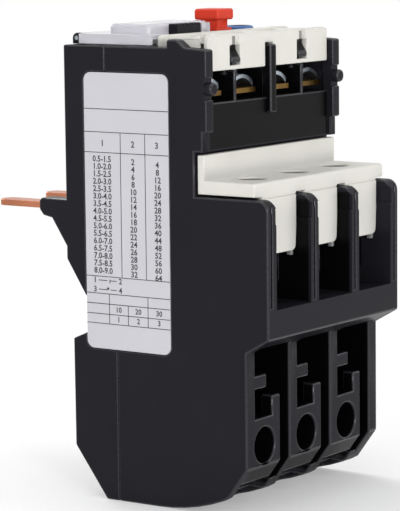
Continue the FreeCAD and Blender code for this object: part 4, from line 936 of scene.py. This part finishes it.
def turned(sheet, angle, radius, z):
    """Lays a sheet flat at a radius from the dial's middle, turned so its y points outwards.
    The angle is counted clockwise from the contactor side: x = r sin a, y = r cos a."""
    points, faces = sheet
    across, outward = points[:, 0], points[:, 1] + radius
    x = DIAL_X + outward * np.sin(angle) + across * np.cos(angle)
    y = DIAL_Y + outward * np.cos(angle) - across * np.sin(angle)
    return np.stack((x, y, z + points[:, 2]), axis=-1) * MM, faces


def bar(width, length):
    """A flat ink bar that starts at the origin and runs along y."""
    points, faces = box_sheet([-width / 2, width / 2, -FRONT, length - FRONT, -INK, INK])
    return points / MM, faces


print("dial middle", round(float(DIAL_X), 2), round(float(DIAL_Y), 2),
      "radius", round(float(DIAL_R), 2))


# %% Ticks and numbers
PANEL_Z = 84.6
MARKS = 6
SCALE_ANGLES = np.radians(np.linspace(-135.0, 135.0, MARKS))
TICK = (0.2, 0.8)
TICK_GAP = 0.55
NUMBER_GAP = 1.5
NUMBER_SIZE = 1.5
scale_sheets = [turned(bar(*TICK), angle, DIAL_R + TICK_GAP, PANEL_Z) for angle in SCALE_ANGLES]
scale_sheets += [turned(figures(str(k + 1), NUMBER_SIZE), angle, DIAL_R + NUMBER_GAP, PANEL_Z)
                 for k, angle in enumerate(SCALE_ANGLES)]
white_ink = moulded_plastic("white_ink", "d8d8d6", 0.5, 0.05, 0.04, 900.0, shine=0.3)
put("dial_scale", mesh_of("dial_scale", joined(scale_sheets)), body_of["front_panel"],
    "white_plastic", white_ink)
print("marks", MARKS)

# %% Arrow on the disc
DISC_Z = 85.1
ARROW_HALF = 0.7
ARROW_LONG = 1.5
ARROW_RADIUS = 3.3
arrow_plan = ((-ARROW_HALF, 0.0), (ARROW_HALF, 0.0), (0.0, ARROW_LONG))
arrow_points = np.array([(*corner, level) for level in (-INK, INK) for corner in arrow_plan])
arrow_faces = [[0, 2, 1], [3, 4, 5], [0, 1, 4, 3], [1, 2, 5, 4], [2, 0, 3, 5]]
arrow = turned((arrow_points, arrow_faces), SCALE_ANGLES[0], ARROW_RADIUS, DISC_Z)
put("dial_arrow", mesh_of("dial_arrow", arrow), body_of["setting_dial"], "black_plastic", ink)
print("arrow at", ARROW_RADIUS, "mm from the middle")


# %% [markdown]
# ## Return springs
# The two coil springs under the buttons stand on a ledge and shorten by the travel of their
# button. A real coil closes up evenly from foot to tip. Each is shown by a copy with a mesh
# of its own, which rides on the spring's body and keeps the spring's length.

# %% Spring copies
PRESS_TRAVEL = {"stop_spring": ("stop_press", 2.5), "reset_spring": ("reset_press", 2.0)}
for node, (joint, travel) in PRESS_TRAVEL.items():
    coil = put(node + "_coil", merged_mesh(node), body_of[node], slot_of[node])
    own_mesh(coil)
    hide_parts(node)


# %% Finish
bpy.context.view_layer.update()
